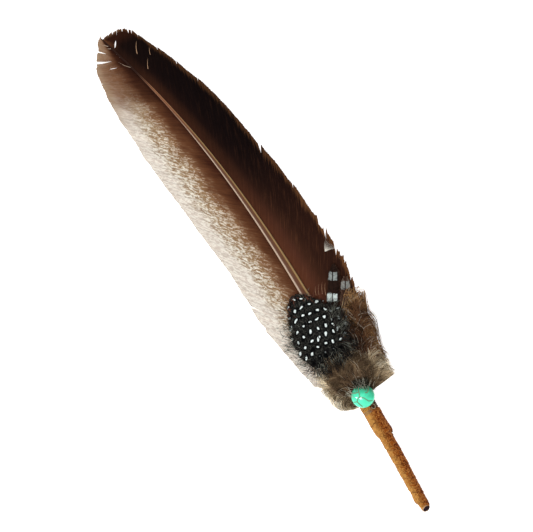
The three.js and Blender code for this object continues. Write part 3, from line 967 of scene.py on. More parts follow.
def small_plume(
    name, slot, material, *, base, tip, height, left, right, count, ragged, droop=1.2, width=1.35, fringe=(),
):
    """A plume on a quill. Left and right are its edges: (root as a share of the axis, x, y). Fringe is
    loose hairs at its edge: (x, y, z, heading, hairs, length, kind)."""
    base = np.array(base, float)
    tip = np.array(tip, float)
    axis = unit(tip - base)
    normal = np.array([-axis[1], axis[0]])
    shape = Shape()

    def on_axis(u):
        xy = base[None] + (tip - base)[None] * u[:, None]
        z = height - PLUME_FALL * (PLUME_BEND - xy[:, 0])
        return np.column_stack([xy, z])

    def flat(rings):
        offset = rings[..., :2] - base
        return np.stack([offset @ axis, offset @ normal, rings[..., 2]], -1)

    for side, rows in ((-1, left), (1, right)):
        u = np.linspace(rows[0][0], rows[-1][0], count)
        roots = on_axis(u)
        xy = through(rows, u)
        edges = np.column_stack([xy, roots[:, 2] - droop])
        edges[:, 2] += random.normal(0, 0.15, count)
        random.normal(0, 1, (count, 2))  # not used, and drawn so that every later draw stays as it is
        places = u * np.linalg.norm(tip - base)
        reach = 1 + wander(places, 1.6) * ragged + random.normal(0, ragged * 0.6, count)
        vane(
            shape, roots, edges, places + (100 if side > 0 else 0), steps=16, bow=-side * 0.08, sag=-0.5,
            overlap=width, height=0.06, reach=reach, flat=flat, blunt=0.2,
        )
    u = np.linspace(0, 0.75, 40)
    path = on_axis(u)
    path[:, 2] += 0.1
    tube(shape, path, PLUME_QUILL * (1 - 0.7 * u), 8)
    for x, y, z, heading, count, long, kind in fringe:
        begin = np.array([x, y, z]) + random.normal(0, 1, (count, 3)) * (2.1, 2.1, 0.35)
        aim = np.radians(heading + random.normal(0, 22, count))
        bend = np.radians(random.normal(0, 30, count))
        size = random.uniform(0.4, 1.0, count) * long
        t = np.linspace(0, 1, 7)[None, :]
        turn = aim[:, None] + bend[:, None] * t
        step = size[:, None] * t
        moves = np.stack([-step * np.cos(turn), step * np.sin(turn), -0.6 * t + 0 * turn], -1)
        paths = begin[:, None] + moves
        hairs(shape, paths, random.uniform(0.08, 0.17, count), kind=kind)
    return shape.finish(name, material, name, slot)


small_plume(
    "barred_side_plume", "barred_barbs",
    plume_surface("barred_side_plume", 0.65, [(52, 34, 26), (62, 42, 33), (86, 66, 54), (120, 104, 92)],
                  bars((19.5, 24.0, 2.6, 0.8), (33.6, 38.6, 2.8, 0.3))),
    base=(-94, 3), tip=(-128.6, 23.2), height=6.2,
    left=[(0.1, -104, 4.5), (0.5, -117, 11.6), (0.8, -126, 18), (1.0, -129.6, 22.6)],
    right=[(0.1, -98, 8.8), (0.5, -113, 17.6), (0.8, -123, 23), (1.0, -128.6, 24.6)],
    count=60, ragged=0.08,
)
small_plume(
    "barred_plume", "barred_barbs",
    plume_surface("barred_plume", 0.6, [(34, 22, 18), (40, 26, 20), (34, 22, 17), (58, 38, 28)],
                  bars((25.2, 29.9, 3.0, 0.95), (36.8, 41.4, 2.7, 0.4))),
    base=(-99, -2), tip=(-138, 20.7), height=6.9,
    left=[(0.1, -108, -0.6), (0.4, -120.4, 6.9), (0.7, -130.6, 13.6), (0.9, -136.2, 18.0),
          (1.0, -138.2, 20.4)],
    right=[(0.1, -103, 4.6), (0.4, -114, 12.0), (0.7, -125.8, 19.0), (0.9, -133.6, 22.2),
           (1.0, -137.4, 21.9)],
    count=90, ragged=0.05, width=1.7,
)
small_plume(
    "spotted_side_plume", "spotted_barbs",
    plume_surface("spotted_side_plume", 0.7, [(30, 24, 22), (26, 21, 20), (44, 32, 28), (70, 48, 38)],
                  guinea_spots(0.4)),
    base=(-90, 5), tip=(-121, 8.6), height=7.4,
    left=[(0.05, -100, -2), (0.4, -112, 0), (0.75, -119, 4), (1.0, -122, 8)],
    right=[(0.05, -95, 14), (0.4, -107, 15.6), (0.75, -116, 14), (1.0, -121.6, 9.6)],
    count=60, ragged=0.12,
)
small_plume(
    "spotted_plume", "spotted_barbs",
    plume_surface("spotted_plume", 0.6, [(12, 11, 12), (10, 10, 11), (13, 12, 12), (32, 27, 24)],
                  guinea_spots(1.0)),
    base=(-90, -5.2), tip=(-132.6, -4.4), height=8.3,
    left=[(0.02, -96, -16), (0.2, -103.4, -18.6), (0.4, -112.6, -18.8), (0.6, -121, -15.6),
          (0.8, -128.4, -12.4), (0.93, -132.6, -9.4), (1.0, -134.3, -6.2)],
    right=[(0.02, -93, 6), (0.18, -100.5, 7.6), (0.4, -112, 7.6), (0.6, -120.3, 8.0), (0.8, -127, 4.2),
           (0.93, -131.6, -0.2), (1.0, -134.1, -4.4)],
    count=92, ragged=0.05, droop=1.4,
    fringe=[
        (-97, -16, 7, -75, 30, 4.5, 1.0),
        (-103, -17.6, 7, -70, 30, 4.5, 1.0),
        (-110, -18.2, 7, -62, 32, 4.2, 1.0),
        (-117, -16.6, 7, -55, 32, 4.2, 1.0),
        (-123, -13.6, 7, -48, 30, 3.6, 1.0),
        (-129, -11, 7, -40, 24, 3.0, 1.0),
        (-110, -19, 7.2, -62, 30, 5.0, 2.0),
        (-118, -16.5, 7.2, -58, 30, 4.5, 2.0),
        (-100, -17, 7.2, -70, 22, 5.0, 2.0),
        (-94, -14, 9.6, 205, 60, 6.0, 1.0),
        (-93, -9, 10.6, 195, 70, 6.0, 1.0),
        (-93, -3, 11.0, 185, 70, 6.0, 1.0),
        (-94, 3, 11.0, 175, 70, 6.0, 1.0),
        (-97, 9, 10.0, 150, 60, 5.0, 1.0),
        (-94, -10, 10.8, 195, 26, 5.0, 2.0),
        (-95, -2, 11.2, 180, 24, 5.0, 2.0),
        (-98, 6, 10.4, 150, 24, 5.0, 2.0),
        (-104, 9, 8.6, 60, 46, 5.0, 1.0),
        (-112, 10, 8.4, 50, 46, 5.0, 1.0),
        (-120, 8.5, 8.0, 40, 34, 4.5, 1.0),
        (-106, 9, 8.8, 60, 30, 5.0, 2.0),
        (-115, 9, 8.6, 50, 30, 5.0, 2.0),
        (-131, -6, 7.2, 0, 26, 3.0, 3.0),
        (-128, 2, 7.6, 20, 30, 4.0, 3.0),
        (-126, -12, 7.2, -30, 14, 3.6, 3.0),
        (-130, -2, 7.6, 10, 12, 3.0, 2.0),
    ],
)


# ---------------------------------------------------------------- down


def fan(
    shape, centre, reach_rows, height, tufts, strands, *, start=(0.0, 0.62), length=(0.26, 0.46),
    radius=(0.1, 0.24), drop=3.0, puff=1.4, curl=14.0, loose=1.8, stray=0.06, shade=1.0, ragged=0.04,
    cut=(False, False),
):
    """Fluff in tufts that spread from a centre: reach_rows is (angle from -X towards +Y, distance).

    Start and length are shares of that distance. Curl and loose are in degrees, for tufts and for single
    hairs, and stray is the share of hairs that bend far more. Cut says which of the two straight sides no
    hair may cross."""
    count = tufts * strands
    low, high = reach_rows[0][0], reach_rows[-1][0]
    owner = np.repeat(np.arange(tufts), strands)
    angle = random.uniform(low, high, tufts)[owner] + random.normal(0, loose * 0.5, count)
    begin = random.uniform(*start, tufts)[owner] * random.uniform(0.8, 1.1, count)
    finish = begin + random.uniform(*length, tufts)[owner] * random.uniform(0.7, 1.15, count)
    finish = np.minimum(finish, random.uniform(0.9, 1.02, count))
    bend = random.normal(0, curl, tufts)[owner] + random.normal(0, curl * 0.4, count)
    bend = np.where(random.random(count) < stray, bend * 3, bend)
    aside = random.normal(0, loose, count)
    level = random.uniform(0, puff, tufts)[owner] + random.normal(0, 0.12, count)
    tone = np.clip(random.normal(0.5, 0.28, tufts)[owner] + random.normal(0, 0.28, count), 0, 1)
    t = np.linspace(0, 1, 7)[None, :]
    share = begin[:, None] * (1 - t) + finish[:, None] * t
    wave = np.sin(t * random.uniform(2, 6, count)[:, None] + random.uniform(0, 6, count)[:, None])
    turn = angle[:, None] + aside[:, None] * (0.3 + 0.7 * t) + bend[:, None] * t**1.6 + wave * 1.5
    fray = np.abs(random.normal(0, 3.0, count))[:, None]
    turn = np.maximum(turn, low + fray) if cut[0] else turn
    turn = np.minimum(turn, high - fray) if cut[1] else turn
    first = through(reach_rows, np.clip(angle, low, high))
    edge = through(reach_rows, np.clip(turn, low, high).ravel())[:, 0].reshape(turn.shape)
    tuft_reach = 1 + random.normal(0, ragged, tufts)[owner] + random.normal(0, ragged * 0.5, count)
    out = np.minimum(share * first, edge * tuft_reach[:, None] * random.uniform(0.93, 1.0, count)[:, None])
    turn = np.radians(turn)
    z = height + level[:, None] * np.sin(np.pi * (0.12 + 0.72 * t)) - drop * share**1.5
    paths = np.stack([centre[0] - out * np.cos(turn), centre[1] + out * np.sin(turn), z], -1)
    hairs(shape, paths, random.uniform(*radius, count), shade=tone, share=(begin * shade, finish * shade))


BROWN_CENTRE = (-78.0, 4.0)
BROWN_REACH = [(4, 27), (13, 36), (20, 46), (24.2, 50.5), (27, 51), (29.5, 49.6), (32.3, 46), (33.9, 39),
               (40.9, 30.8), (44.8, 28.8), (49.7, 24.4), (60, 20.5), (71.8, 17.9), (88, 15.5)]


def brown_plume():
    """A plume whose barbs have lost their hooks, so that they curl and part."""
    shape = Shape()
    settings = {"start": (0.2, 0.92), "loose": 2.0, "stray": 0.1, "cut": (False, True)}
    fan(
        shape, BROWN_CENTRE, BROWN_REACH, 4.9, 90, 16, length=(0.16, 0.3), drop=0.6, radius=(0.18, 0.34),
        curl=6.0, **settings,
    )
    fan(
        shape, BROWN_CENTRE, BROWN_REACH, 6.6, 230, 14, length=(0.14, 0.26), drop=1.8, curl=15.0,
        ragged=0.07, **settings,
    )
    u = np.linspace(0, 1, 30)
    quill = np.column_stack([-84 - 36 * u, 8 + 17.5 * u, 6.1 - 0.8 * u])
    tube(shape, quill, 0.28 * (1 - 0.7 * u), 8)
    return shape.finish("brown_plume", brown_surface(), "brown_plume", "brown_barbs")


brown_plume()

LEFT_REACH = [(-134, 5.1), (-118, 7), (-104, 9.2), (-95, 12.5), (-80, 15), (-64, 18.7), (-48, 25.6),
              (-40, 32.4), (-35, 36)]
RIGHT_REACH = [(28, 26), (36, 30), (42.3, 31), (48, 28.5), (55.2, 25.6), (66.8, 24.2), (75, 22.6), (84, 21.5)]
FRONT_REACH = [(-66, 8), (-50, 14), (-38, 22), (-26, 29), (-15, 29.5), (-5, 27.5), (10, 26), (24, 25),
               (40, 19), (60, 10)]
BACK_REACH = [(-70, 15), (-30, 26), (0, 32), (30, 28), (70, 18)]

HAIR_LOW = 11.4  # hairs over the stone's edge rise from here
HAIR_HIGH = 13.6


def down_piece(name, fans, over=()):
    """Fans are (reach, height, tufts, settings). Over is loose hairs over the stone's edge: (angle,
    hairs, kind)."""
    shape = Shape()
    for reach, height, tufts, settings in fans:
        fan(shape, BINDING, reach, height, tufts, 16, **settings)
    for angle, count, kind in over:
        turn = np.radians(angle + random.normal(0, 12, count))[:, None]
        t = np.linspace(0, 1, 8)[None, :]
        start = random.uniform(7.5, 10.5, count)[:, None]
        stop = random.uniform(3.6, 6.0, count)[:, None]
        swing = np.radians(random.normal(0, 20, count))[:, None] * t**2
        out = start * (1 - t) + stop * t
        z = HAIR_LOW + (HAIR_HIGH - HAIR_LOW) * np.sin(np.pi / 2 * np.minimum(t * 1.4, 1)) + 0 * out
        x = STONE[0] - out * np.cos(turn + swing)
        y = STONE[1] + out * np.sin(turn + swing)
        hairs(shape, np.stack([x, y, z], -1), random.uniform(0.06, 0.12, count), kind=kind)
    return shape.finish(name, down_material, name, "down")


MAT = {"radius": (0.18, 0.36), "puff": 0.8, "curl": 8.0}  # the dense layer under the tufts
down_material = down_surface()
down_piece("down_back", [(BACK_REACH, 2.4, 150, {"drop": 1.2, "puff": 0.8})])
down_piece("down_left", [
    (LEFT_REACH, 5.6, 90, {**MAT, "drop": 2.6, "shade": 1.3, "ragged": 0.07, "cut": (True, False)}),
    (LEFT_REACH, 6.6, 210, {"drop": 3.2, "curl": 20.0, "shade": 1.45, "ragged": 0.1, "cut": (True, False)}),
])
down_piece("down_right", [
    (RIGHT_REACH, 5.6, 90, {**MAT, "drop": 1.6, "cut": (False, True)}),
    (RIGHT_REACH, 8.2, 210, {"drop": 3.4, "shade": 1.15, "curl": 18.0, "ragged": 0.07, "cut": (False, True)}),
])
FRONT_TOP = {"drop": 1.4, "puff": 1.8, "shade": 0.66, "curl": 18.0, "stray": 0.12, "cut": (True, True)}
down_piece(
    "down_front",
    [
        (FRONT_REACH, 8.9, 90, {**MAT, "drop": 1.0, "shade": 0.55, "cut": (True, True)}),
        (FRONT_REACH, 9.6, 220, FRONT_TOP),
    ],
    over=[(0, 40, 1.0), (26, 44, 1.0), (42, 36, 1.0), (10, 16, 2.0), (36, 16, 2.0), (-40, 14, 2.0)],
)


# ---------------------------------------------------------------- binding, pad and stone

# The loose end of the thread: a loop beside the stone, then a turn round the second layer of suede.
THREAD_LOOP = [(-65.2, 1.2), (-64.0, 2.0), (-62.8, 3.1), (-61.5, 3.3), (-60.8, 2.5), (-61.2, 1.6),
               (-62.2, 1.1)]
THREAD_WISPS = [(-60.9, -3.9, -61.0, 0.7), (-60.1, -4.1, -60.4, 0.2), (-59.3, -3.6, -60.2, 0.8),
                (-60.6, -4, -61.8, 1.6)]
THREAD_START = -71
THREAD_TURNS = 11
THREAD_PITCH = 0.98
PLIES_OFFSET = 0.17  # how far each ply is from the middle of the thread
TWISTS = 11  # of the plies, in each turn of the thread


def binding_thread():
    """Waxed thread of two twisted plies, wound round all the quills and on to the handle."""
    shape = Shape()
    turns = np.linspace(0, THREAD_TURNS, 120 * THREAD_TURNS)
    angle = turns * 2 * np.pi
    slimmer = smooth((turns - 4.4) / 1.0)
    across = 4.9 - 0.85 * slimmer
    upward = 4.1 - 0.05 * slimmer
    middle = 0.3 * slimmer
    x = THREAD_START + turns * THREAD_PITCH
    centre = np.stack([x, middle + across * np.sin(angle), AXIS_Z + upward * np.cos(angle)], -1)
    outward = unit(np.stack([0 * turns, np.sin(angle), np.cos(angle)], -1))
    for ply in (0, 1):
        twist = turns * 2 * np.pi * TWISTS + ply * np.pi
        offset = outward * np.cos(twist)[:, None] * PLIES_OFFSET
        offset[:, 0] += np.sin(twist) * PLIES_OFFSET
        tube(shape, centre + offset, 0.26, 6, kind=0.0)
    places = np.linspace(0, len(THREAD_LOOP) - 1, 60)
    loop = through([(i, *point) for i, point in enumerate(THREAD_LOOP)], places)
    tube(shape, on_wrap(loop, 5.0), 0.2, 6)
    for x0, y0, x1, y1 in THREAD_WISPS:
        line = np.linspace((x0, y0), (x1, y1), 24)
        tube(shape, on_wrap(line, 4.72), 0.11, 5, kind=0.7)
    made = Surface("waxed_thread", roughness=0.7, specular=0.1)
    grain = made.noise(made.field("place"), 3.0, 3.0)
    wound = made.ramp(grain, (0.3, 44, 27, 20), (0.7, 92, 62, 44))
    loose = made.ramp(grain, (0.3, 122, 104, 84), (0.7, 172, 156, 132))
    made.set("Base Color", made.mix(made.split(made.field("spread"))[2], wound, loose))
    made.bump(grain, 0.00003, 0.5)
    return shape.finish("binding_thread", made.material, "binding_thread", "thread")


def on_wrap(line, radius):
    """Lifts a line of x, y on to a round layer about the handle's axis."""
    z = AXIS_Z + np.sqrt(np.maximum(radius**2 - (line[:, 1] - HANDLE_Y) ** 2, 0.2))
    return np.column_stack([line, z])


binding_thread()


# Veins of the stone, in mm from its centre: each is a line of points, x then y.
VEINS = [
    [(-5.5, 0.1), (-4.2, -0.5), (-2.8, -0.9), (-0.7, -1.7), (0.2, -0.8), (0.9, 0.0), (2.4, 0.7),
     (3.5, 1.3), (4.3, 3.1)],
    [(-2.1, 4.4), (-0.9, 3.3), (-0.9, 2.5), (-1.25, 1.9)],
    [(0.4, -5.7), (0.7, -4.8), (0.9, -4.2), (2.8, -3.6), (4.5, -3.0)],
    [(-4.2, -4.2), (-3.6, -2.8), (-3.2, -1.2)],
    [(-0.7, -1.7), (-0.6, -2.8), (0.9, -4.2)],
]


def vein_distance(points):
    nearest = np.full(points.shape[:-1], np.inf)
    for vein in VEINS:
        for start, stop in zip(vein[:-1], vein[1:]):
            a = np.array(start) + STONE
            b = np.array(stop) + STONE
            f = np.clip(((points - a) @ (b - a)) / ((b - a) @ (b - a)), 0, 1)
            nearest = np.minimum(nearest, np.linalg.norm(points - a - f[..., None] * (b - a), axis=-1))
    return nearest


def stone():
    shape = Shape()
    bottom = STONE_BOTTOM
    profile = [(0.02, bottom), (STONE_RADIUS - 0.6, bottom), (STONE_RADIUS - 0.25, bottom + 0.08)]
    for angle in np.linspace(0, 1, 70) * np.pi / 2:
        radius = max(0.02, STONE_RADIUS * math.cos(angle) ** 0.92)
        profile.append((radius, bottom + 0.55 + (STONE_HEIGHT - 0.55) * math.sin(angle) ** 0.95))
    rings = upright(profile, 160)
    x, y, _ = np.moveaxis(rings, -1, 0)
    rings[..., :2] += 0.02 * np.stack([np.sin(y * 2), np.sin(x * 1.7)], -1)
    toward_dark = unit(np.array([-0.75, 0.66]))
    darkness = 0.36 + ((rings[..., :2] - STONE) @ toward_dark) / STONE_RADIUS * 0.62
    strand = per_point(rings, vein_distance(rings[..., :2]), 0.0, 0.0)
    shape.add(rings, strand, per_point(rings, darkness, 0.0, 0.0), columns=1)
    return shape.finish("turquoise_cabochon", stone_surface(), "turquoise_cabochon", "turquoise")


stone()

suede = suede_surface("suede", (198, 142, 72), (146, 76, 22), (92, 38, 8))
# suede_dark is the same suede painted darker, as painted shade, for the pad under the stone and the tucked
# end on the +Y side.
suede_dark = suede_surface("suede_dark", (176, 112, 54), (134, 68, 22), (84, 36, 10))


def pad():
    """The round pad of suede that the stone is glued to, cut by hand."""
    upper = [(PAD_RADIUS, 9.75), (PAD_RADIUS - 0.1, 10.02), (PAD_RADIUS - 0.35, PAD_TOP), (0.02, PAD_TOP)]
    lower = [(0.02, PAD_BOTTOM), (PAD_RADIUS - 0.35, PAD_BOTTOM), (PAD_RADIUS - 0.1, PAD_BOTTOM + 0.1)]
    turns = around(96)
    wobble = np.sin(turns * 2 + 0.6) * 0.6 + np.sin(turns * 5) * 0.25 + np.sin(turns * 3 + 2) * 0.4
    shape = Shape()
    shape.add(upright(lower + upper, len(turns), 1 + 0.02 * wobble), columns=1)
    return shape.finish("cabochon_pad", suede_dark, "cabochon_pad", "suede_dark")


pad()


# ---------------------------------------------------------------- the suede handle


def suede_relief(x, turns, lead, hand):
    """Height of the wound strip: one soft step for each turn, and a crumpled nap. Also its seam, 1 where
    one turn meets the next. Lead is the length of a turn, and hand is the way that it winds."""
    place = (x / lead + hand * turns / (2 * np.pi)) % 1.0
    step = 0.16 * place + 0.14 * np.exp(-((place - 0.95) / 0.05) ** 2) - 0.2 * np.exp(-(place / 0.035) ** 2)
    step = step - 0.2 * np.exp(-((1 - place) / 0.02) ** 2)
    crumple = 0.0
    for scale, size in ((1.7, 0.09), (3.1, 0.07), (5.3, 0.045)):
        phase = random.uniform(0, 6, 4)
        wave = np.sin(x * scale + 2.3 * np.sin(turns * 2 + phase[0]) + phase[1])
        across = np.sin(turns * round(scale * 2.2) + 1.3 * np.sin(x * scale * 0.6 + phase[2]))
        crumple = crumple + size * wave * across
    seam = np.exp(-(place / 0.05) ** 2)
    return step + crumple, seam


NAP_RADIUS = 0.045


def nap(shape, rings, count, length):
    """Short fibres that stand up from a surface."""
    _, m, k, _ = rings.shape
    i = random.integers(1, m - 1, count)
    j = random.integers(0, k, count)
    here = rings[0, i, j]
    ahead = rings[0, i + 1, j] - rings[0, i - 1, j]
    beside = rings[0, i, (j + 1) % k] - rings[0, i, (j - 1) % k]
    outward = unit(np.cross(ahead, beside))
    middle = rings[0].mean(1)[i]
    outward = outward * np.sign(np.einsum("ni,ni->n", outward, here - middle))[:, None]
    long = random.uniform(0.4, 1.0, count)[:, None] * length
    lean = unit(outward + random.normal(0, 0.55, (count, 3)))
    bend = unit(lean + random.normal(0, 0.5, (count, 3)))
    paths = np.stack([here - outward * 0.05, here + lean * long * 0.5, here + (lean + bend) * long * 0.5], 1)
    hairs(shape, paths, np.full(count, NAP_RADIUS), kind=0.0)


MOUTH_TURN = math.radians(80)  # the mouth is cut on a slant: it faces up and a little towards +Y
MOUTH_CUT = 3.1  # how far the slant reaches back

# The outside of the wrap: x, the middle in y, and the radius.
WRAP_OUTLINE = [(-64.6, 0.2, 3.7), (-40, 0.35, 3.7), (-28, 0.3, 3.6), (-18, 0.0, 3.4), (-10, -0.1, 3.3),
                (-7, -0.35, 3.35), (-3.4, 0.0, 3.0), (-1.2, 0.1, 2.75), (0.4, 0.05, 2.55), (1.3, 0.0, 2.3)]


def mouth_slant(x, turns):
    """How far the slant moves the points at x, round the handle."""
    return -MOUTH_CUT * smooth((x + 8) / 8)[:, None] * (1 + np.cos(turns - MOUTH_TURN)) / 2


def suede_wrap():
    """The strip wound round the quill, whose hollow narrows to the mouth."""
    sides, stations = 110, 380
    x = np.linspace(WRAP_OUTLINE[0][0], WRAP_OUTLINE[-1][0], stations)
    centre_y, radius = through(WRAP_OUTLINE, x).T
    turns = around(sides)
    grid_x = np.repeat(x[:, None], sides, 1)
    relief, seam = suede_relief(grid_x, turns[None, :], 8.6, 1)
    fade = smooth((1.4 - x) / 2.5)[:, None]
    out = radius[:, None] - 0.12 + relief * (0.35 + 0.65 * fade)
    outside = np.stack([
        grid_x + mouth_slant(x, turns),
        centre_y[:, None] + out * np.cos(turns),
        AXIS_Z + out * np.sin(turns),
    ], -1)
    inner_x = np.array([1.45, 1.2, -6.5, -7.5, -64.5])
    inner_r = np.array([1.85, 1.6, 1.8, 2.55, 2.55])[:, None]
    inside = np.stack([
        inner_x[:, None] + mouth_slant(inner_x, turns),
        0.05 + inner_r * np.cos(turns),
        AXIS_Z + inner_r * np.sin(turns),
    ], -1)
    rings = np.concatenate([outside, inside])[None]
    spread = np.zeros(rings.shape)
    spread[0, :stations, :, 1] = seam * fade
    # The mouth's lip is paler where its nap is rubbed and dark olive on its +Y side.
    lip = smooth((x - 0.4) / 0.8)[:, None]
    plus_y_side = np.exp(-(((turns + np.pi) % (2 * np.pi) - np.pi - 0.15) / 0.55) ** 2)[None, :]
    spread[0, :stations, :, 1] += lip * (3 * plus_y_side - 1)
    # Inside the hollow the suede is painted darker, as painted shade; its first two rings, at the mouth, take
    # the lip's marks.
    spread[0, stations:, :, 1] = 1.0
    spread[0, stations : stations + 2, :, 1] = -1 + 3 * plus_y_side
    shape = Shape()
    shape.add(rings, None, spread, closed=True, columns=1)
    nap(shape, outside[None], 2400, 0.35)
    return shape.finish("suede_wrap", suede, "suede_wrap", "suede")


suede_wrap()


def suede_overwrap():
    """The second layer near the stone. It starts and ends on a slant, and is pressed flat below."""
    sides, stations = 110, 150
    x = np.linspace(-65.2, -45.4, stations)
    turns = around(sides)
    grid_x = np.repeat(x[:, None], sides, 1)
    relief, seam = suede_relief(grid_x, turns[None, :], 9.5, -1)
    plus_y = (1 + np.cos(turns)[None, :]) / 2
    fall = smooth((-43.6 - 1.6 * plus_y - grid_x) / (5.4 - 3.8 * plus_y))
    start = smooth((grid_x + 65.4 - 5.0 * smooth((np.cos(turns - 0.42) - 0.4) / 0.25)) / 0.9)
    bulge = 0.35 * np.exp(-(((grid_x + 47.4) / 1.8) ** 2)) * plus_y**4
    out = UNDER_OVERWRAP + 0.02 + (0.86 + relief * 0.8 + bulge) * fall * start**0.6
    ragged = 0.4 * np.sin(turns * 3 + 1) + 0.25 * np.sin(turns * 7)
    moved = grid_x + ragged[None, :] * smooth((x + 52) / 6)[:, None]
    y = HANDLE_Y + out * np.cos(turns)
    z = np.maximum(AXIS_Z + out * np.sin(turns), 0.02)
    outside = np.stack([moved, y, z], -1)
    inner_x = np.array([[-45.9], [-65.0]]) + ragged * np.array([[1.0], [0.0]])
    inner_r = UNDER_OVERWRAP - 0.02 + 0 * inner_x
    inner = np.stack([inner_x, HANDLE_Y + inner_r * np.cos(turns), AXIS_Z + inner_r * np.sin(turns)], -1)
    rings = np.concatenate([outside, inner])[None]
    spread = np.zeros(rings.shape)
    spread[0, :stations, :, 1] = seam
    shape = Shape()
    shape.add(rings, None, spread, closed=True, columns=1)
    nap(shape, outside[None], 1400, 0.4)
    return shape.finish("suede_overwrap", suede, "suede_overwrap", "suede")


suede_overwrap()


def wrap_tuck():
    """The strip's end, tucked in as a lump beside the second layer."""
    shape = Shape()
    low, high = drawn(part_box("wrap_tuck"))
    middle = (low + high) / 2
    size = (high - low) / 2 * np.array([1.5, 1.15, 1.05])
    turns = around(48)
    swing = np.linspace(0.01, np.pi - 0.01, 40)[:, None]
    lump = 1 + 0.08 * np.sin(turns * 3 + 1) * np.sin(swing) + 0.06 * np.sin(turns * 7 + swing * 5)
    x = middle[0] - size[0] * np.cos(swing) + 0 * turns
    y = middle[1] - 0.3 + size[1] * np.sin(swing) * np.cos(turns) * lump
    z = middle[2] + size[2] * np.sin(swing) * np.sin(turns) * lump
    rings = np.stack([x, y, z], -1)[None]
    shape.add(rings, columns=1)
    nap(shape, rings, 500, 0.5)
    return shape.finish("wrap_tuck", suede_dark, "wrap_tuck", "suede_dark")


wrap_tuck()


# ---------------------------------------------------------------- the mouth and the refill


def bush():
    low, high = drawn(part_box("mouth_bush"))
    start, stop = low[0], high[0]
    radius = (high[1] - low[1]) / 2
    bore = 1.22
    lip = 0.18
    profile = [
        (start, bore), (start, radius - lip), (start + lip, radius), (stop - 0.5, radius),
        (stop - 0.18, radius - 0.08), (stop, radius - 0.3), (stop, bore + 0.06), (stop - 0.3, bore),
    ]
    shape = Shape()
    turned(shape, profile, 72, closed=True)
    material = grained_surface("stained_wood", (50, 32, 38), (22, 14, 16), 0.8, specular=0.05)
    return shape.finish("mouth_bush", material, "mouth_bush", "bush_wood")


bush()

steel = grained_surface("drawn_steel", (196, 198, 202), (150, 152, 156), 0.3, (0.3, 9.0, 9.0), metallic=1.0)
brass = grained_surface("turned_brass", (196, 158, 92), (150, 114, 62), 0.28, (9.0, 1.0, 1.0), metallic=1.0)
tube_box = drawn(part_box("refill_tube"))
TUBE_END = tube_box[1][0]  # where the steel tube ends and the shoulder of the tip starts
TUBE_BORE = 0.82
BALL_RADIUS = 0.5


def refill_tube():
    """A drawn tube with a groove rolled in near its end."""
    low, high = tube_box
    start, stop = low[0], high[0]
    radius = (high[1] - low[1]) / 2
    profile = [
        (start, TUBE_BORE), (start, radius - 0.08), (start + 0.08, radius), (stop - 0.9, radius),
        (stop - 0.7, radius - 0.07), (stop - 0.5, radius), (stop - 0.08, radius), (stop, radius - 0.08),
        (stop, TUBE_BORE),
    ]
    shape = Shape()
    turned(shape, profile, 64, closed=True)
    return shape.finish("refill_tube", steel, "refill_tube", "steel", body="refill")


def refill_tip():
    """A turned tip: a spigot in the tube, a shoulder with a groove, and a cone down to the ball."""
    low, high = drawn(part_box("refill_tip"))
    start, stop = low[0], high[0]
    spigot = 0.76
    collar = 1.165
    profile = [
        (start, 0.02), (start, spigot - 0.06), (start + 0.1, spigot), (TUBE_END, spigot),
        (TUBE_END + 0.02, collar - 0.085), (TUBE_END + 0.12, collar), (-6.4, collar), (-6.2, 1.1),
        (-5.9, 1.1), (-5.7, collar), (-4.4, collar), (-4.2, 1.1), (-0.6, 0.62), (-0.4, 0.56),
        (stop - 0.12, 0.52), (stop, 0.47), (stop, 0.02),
    ]
    shape = Shape()
    turned(shape, profile, 64)
    return shape.finish("refill_tip", brass, "refill_tip", "brass", body="refill")


def writing_ball():
    turns = np.linspace(0, np.pi, 32)
    profile = np.column_stack([
        BALL_X - BALL_RADIUS * np.cos(turns), np.maximum(0.01, BALL_RADIUS * np.sin(turns)),
    ])
    shape = Shape()
    turned(shape, profile, 48)
    return shape.finish("writing_ball", steel, "writing_ball", "steel", body="refill")


refill_tube()
refill_tip()
writing_ball()

kept = {
    "pith_plug": kept_node_surface("pith", (226, 216, 190), (196, 180, 148), 0.9, (900, 2500, 2500)),
    "ink_column": kept_node_surface("ink_paste", (20, 20, 30), (8, 8, 12), 0.15, (300, 900, 900)),
}
for node, material in kept.items():
    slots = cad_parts[node].data.materials
    slots.clear()
    slots.append(material)


# ---------------------------------------------------------------- floor, light and camera


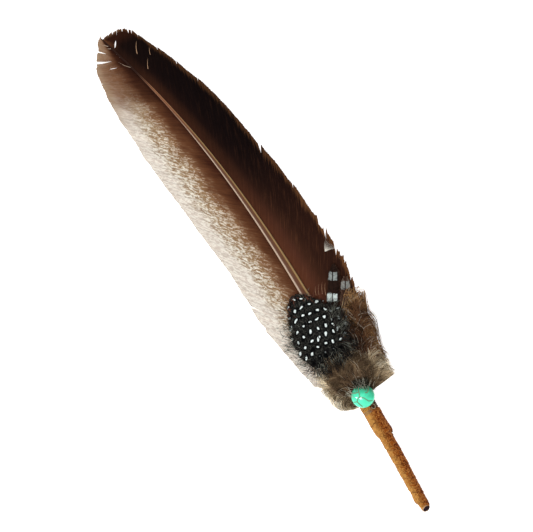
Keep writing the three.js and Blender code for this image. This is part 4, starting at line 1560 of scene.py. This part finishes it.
def floor():
    """A white floor, a hair below the pen so that the two never share a plane."""
    mesh = bpy.data.meshes.new("floor")
    half = 4.0
    level = -0.0002
    corners = [(-half, -half, level), (half, -half, level), (half, half, level), (-half, half, level)]
    mesh.from_pydata(corners, [], [(0, 1, 2, 3)])
    made = bpy.data.objects.new("floor", mesh)
    bpy.context.scene.collection.objects.link(made)
    surface = Surface("floor", roughness=1.0, specular=0.0)
    surface.set("Base Color", srgb(250, 250, 250))
    surface.set("Emission Color", (1.0, 1.0, 1.0, 1.0))
    surface.set("Emission Strength", 0.75)
    mesh.materials.append(surface.material)


floor()


def light(name, direction, distance, size, power):
    """A soft square light that looks at the middle of the pen."""
    data = bpy.data.lights.new(name, "AREA")
    data.size = size
    data.energy = power
    made = bpy.data.objects.new(name, data)
    bpy.context.scene.collection.objects.link(made)
    place = unit(np.array(direction, float)) * distance
    made.location = place
    made.rotation_mode = "QUATERNION"
    made.rotation_quaternion = Vector([float(v) for v in -place]).to_track_quat("-Z", "Y")


light("key", (-0.05, -0.52, 0.86), 1.2, 0.2, 5.0)
light("second_key", (0.19, -0.2, 0.96), 1.2, 0.2, 4.0)
light("fill", (-0.5, 0.5, 0.7), 1.5, 1.2, 4.0)

world = bpy.data.worlds.new("studio")
world.use_nodes = True
world.node_tree.nodes["Background"].inputs["Color"].default_value = (1.0, 1.0, 1.0, 1.0)
world.node_tree.nodes["Background"].inputs["Strength"].default_value = 0.55
bpy.context.scene.world = world

CAMERA_TURN = math.radians(60.43)
CAMERA_CENTRE = (-0.0033, -0.0044)
CAMERA_HEIGHT = 1.004
VIEW_LEVEL = 0.004  # the height above the table at which the view is VIEW_WIDTH across
VIEW_WIDTH = 0.2841
SENSOR_WIDTH = 36.0

camera_data = bpy.data.cameras.new("camera")
camera_data.sensor_width = SENSOR_WIDTH
camera_data.lens = SENSOR_WIDTH * (CAMERA_HEIGHT - VIEW_LEVEL) / VIEW_WIDTH
camera = bpy.data.objects.new("camera", camera_data)
bpy.context.scene.collection.objects.link(camera)
camera.location = (*CAMERA_CENTRE, CAMERA_HEIGHT)
camera.rotation_euler = (0.0, 0.0, CAMERA_TURN)
bpy.context.scene.camera = camera
bpy.context.scene.view_settings.view_transform = "Standard"
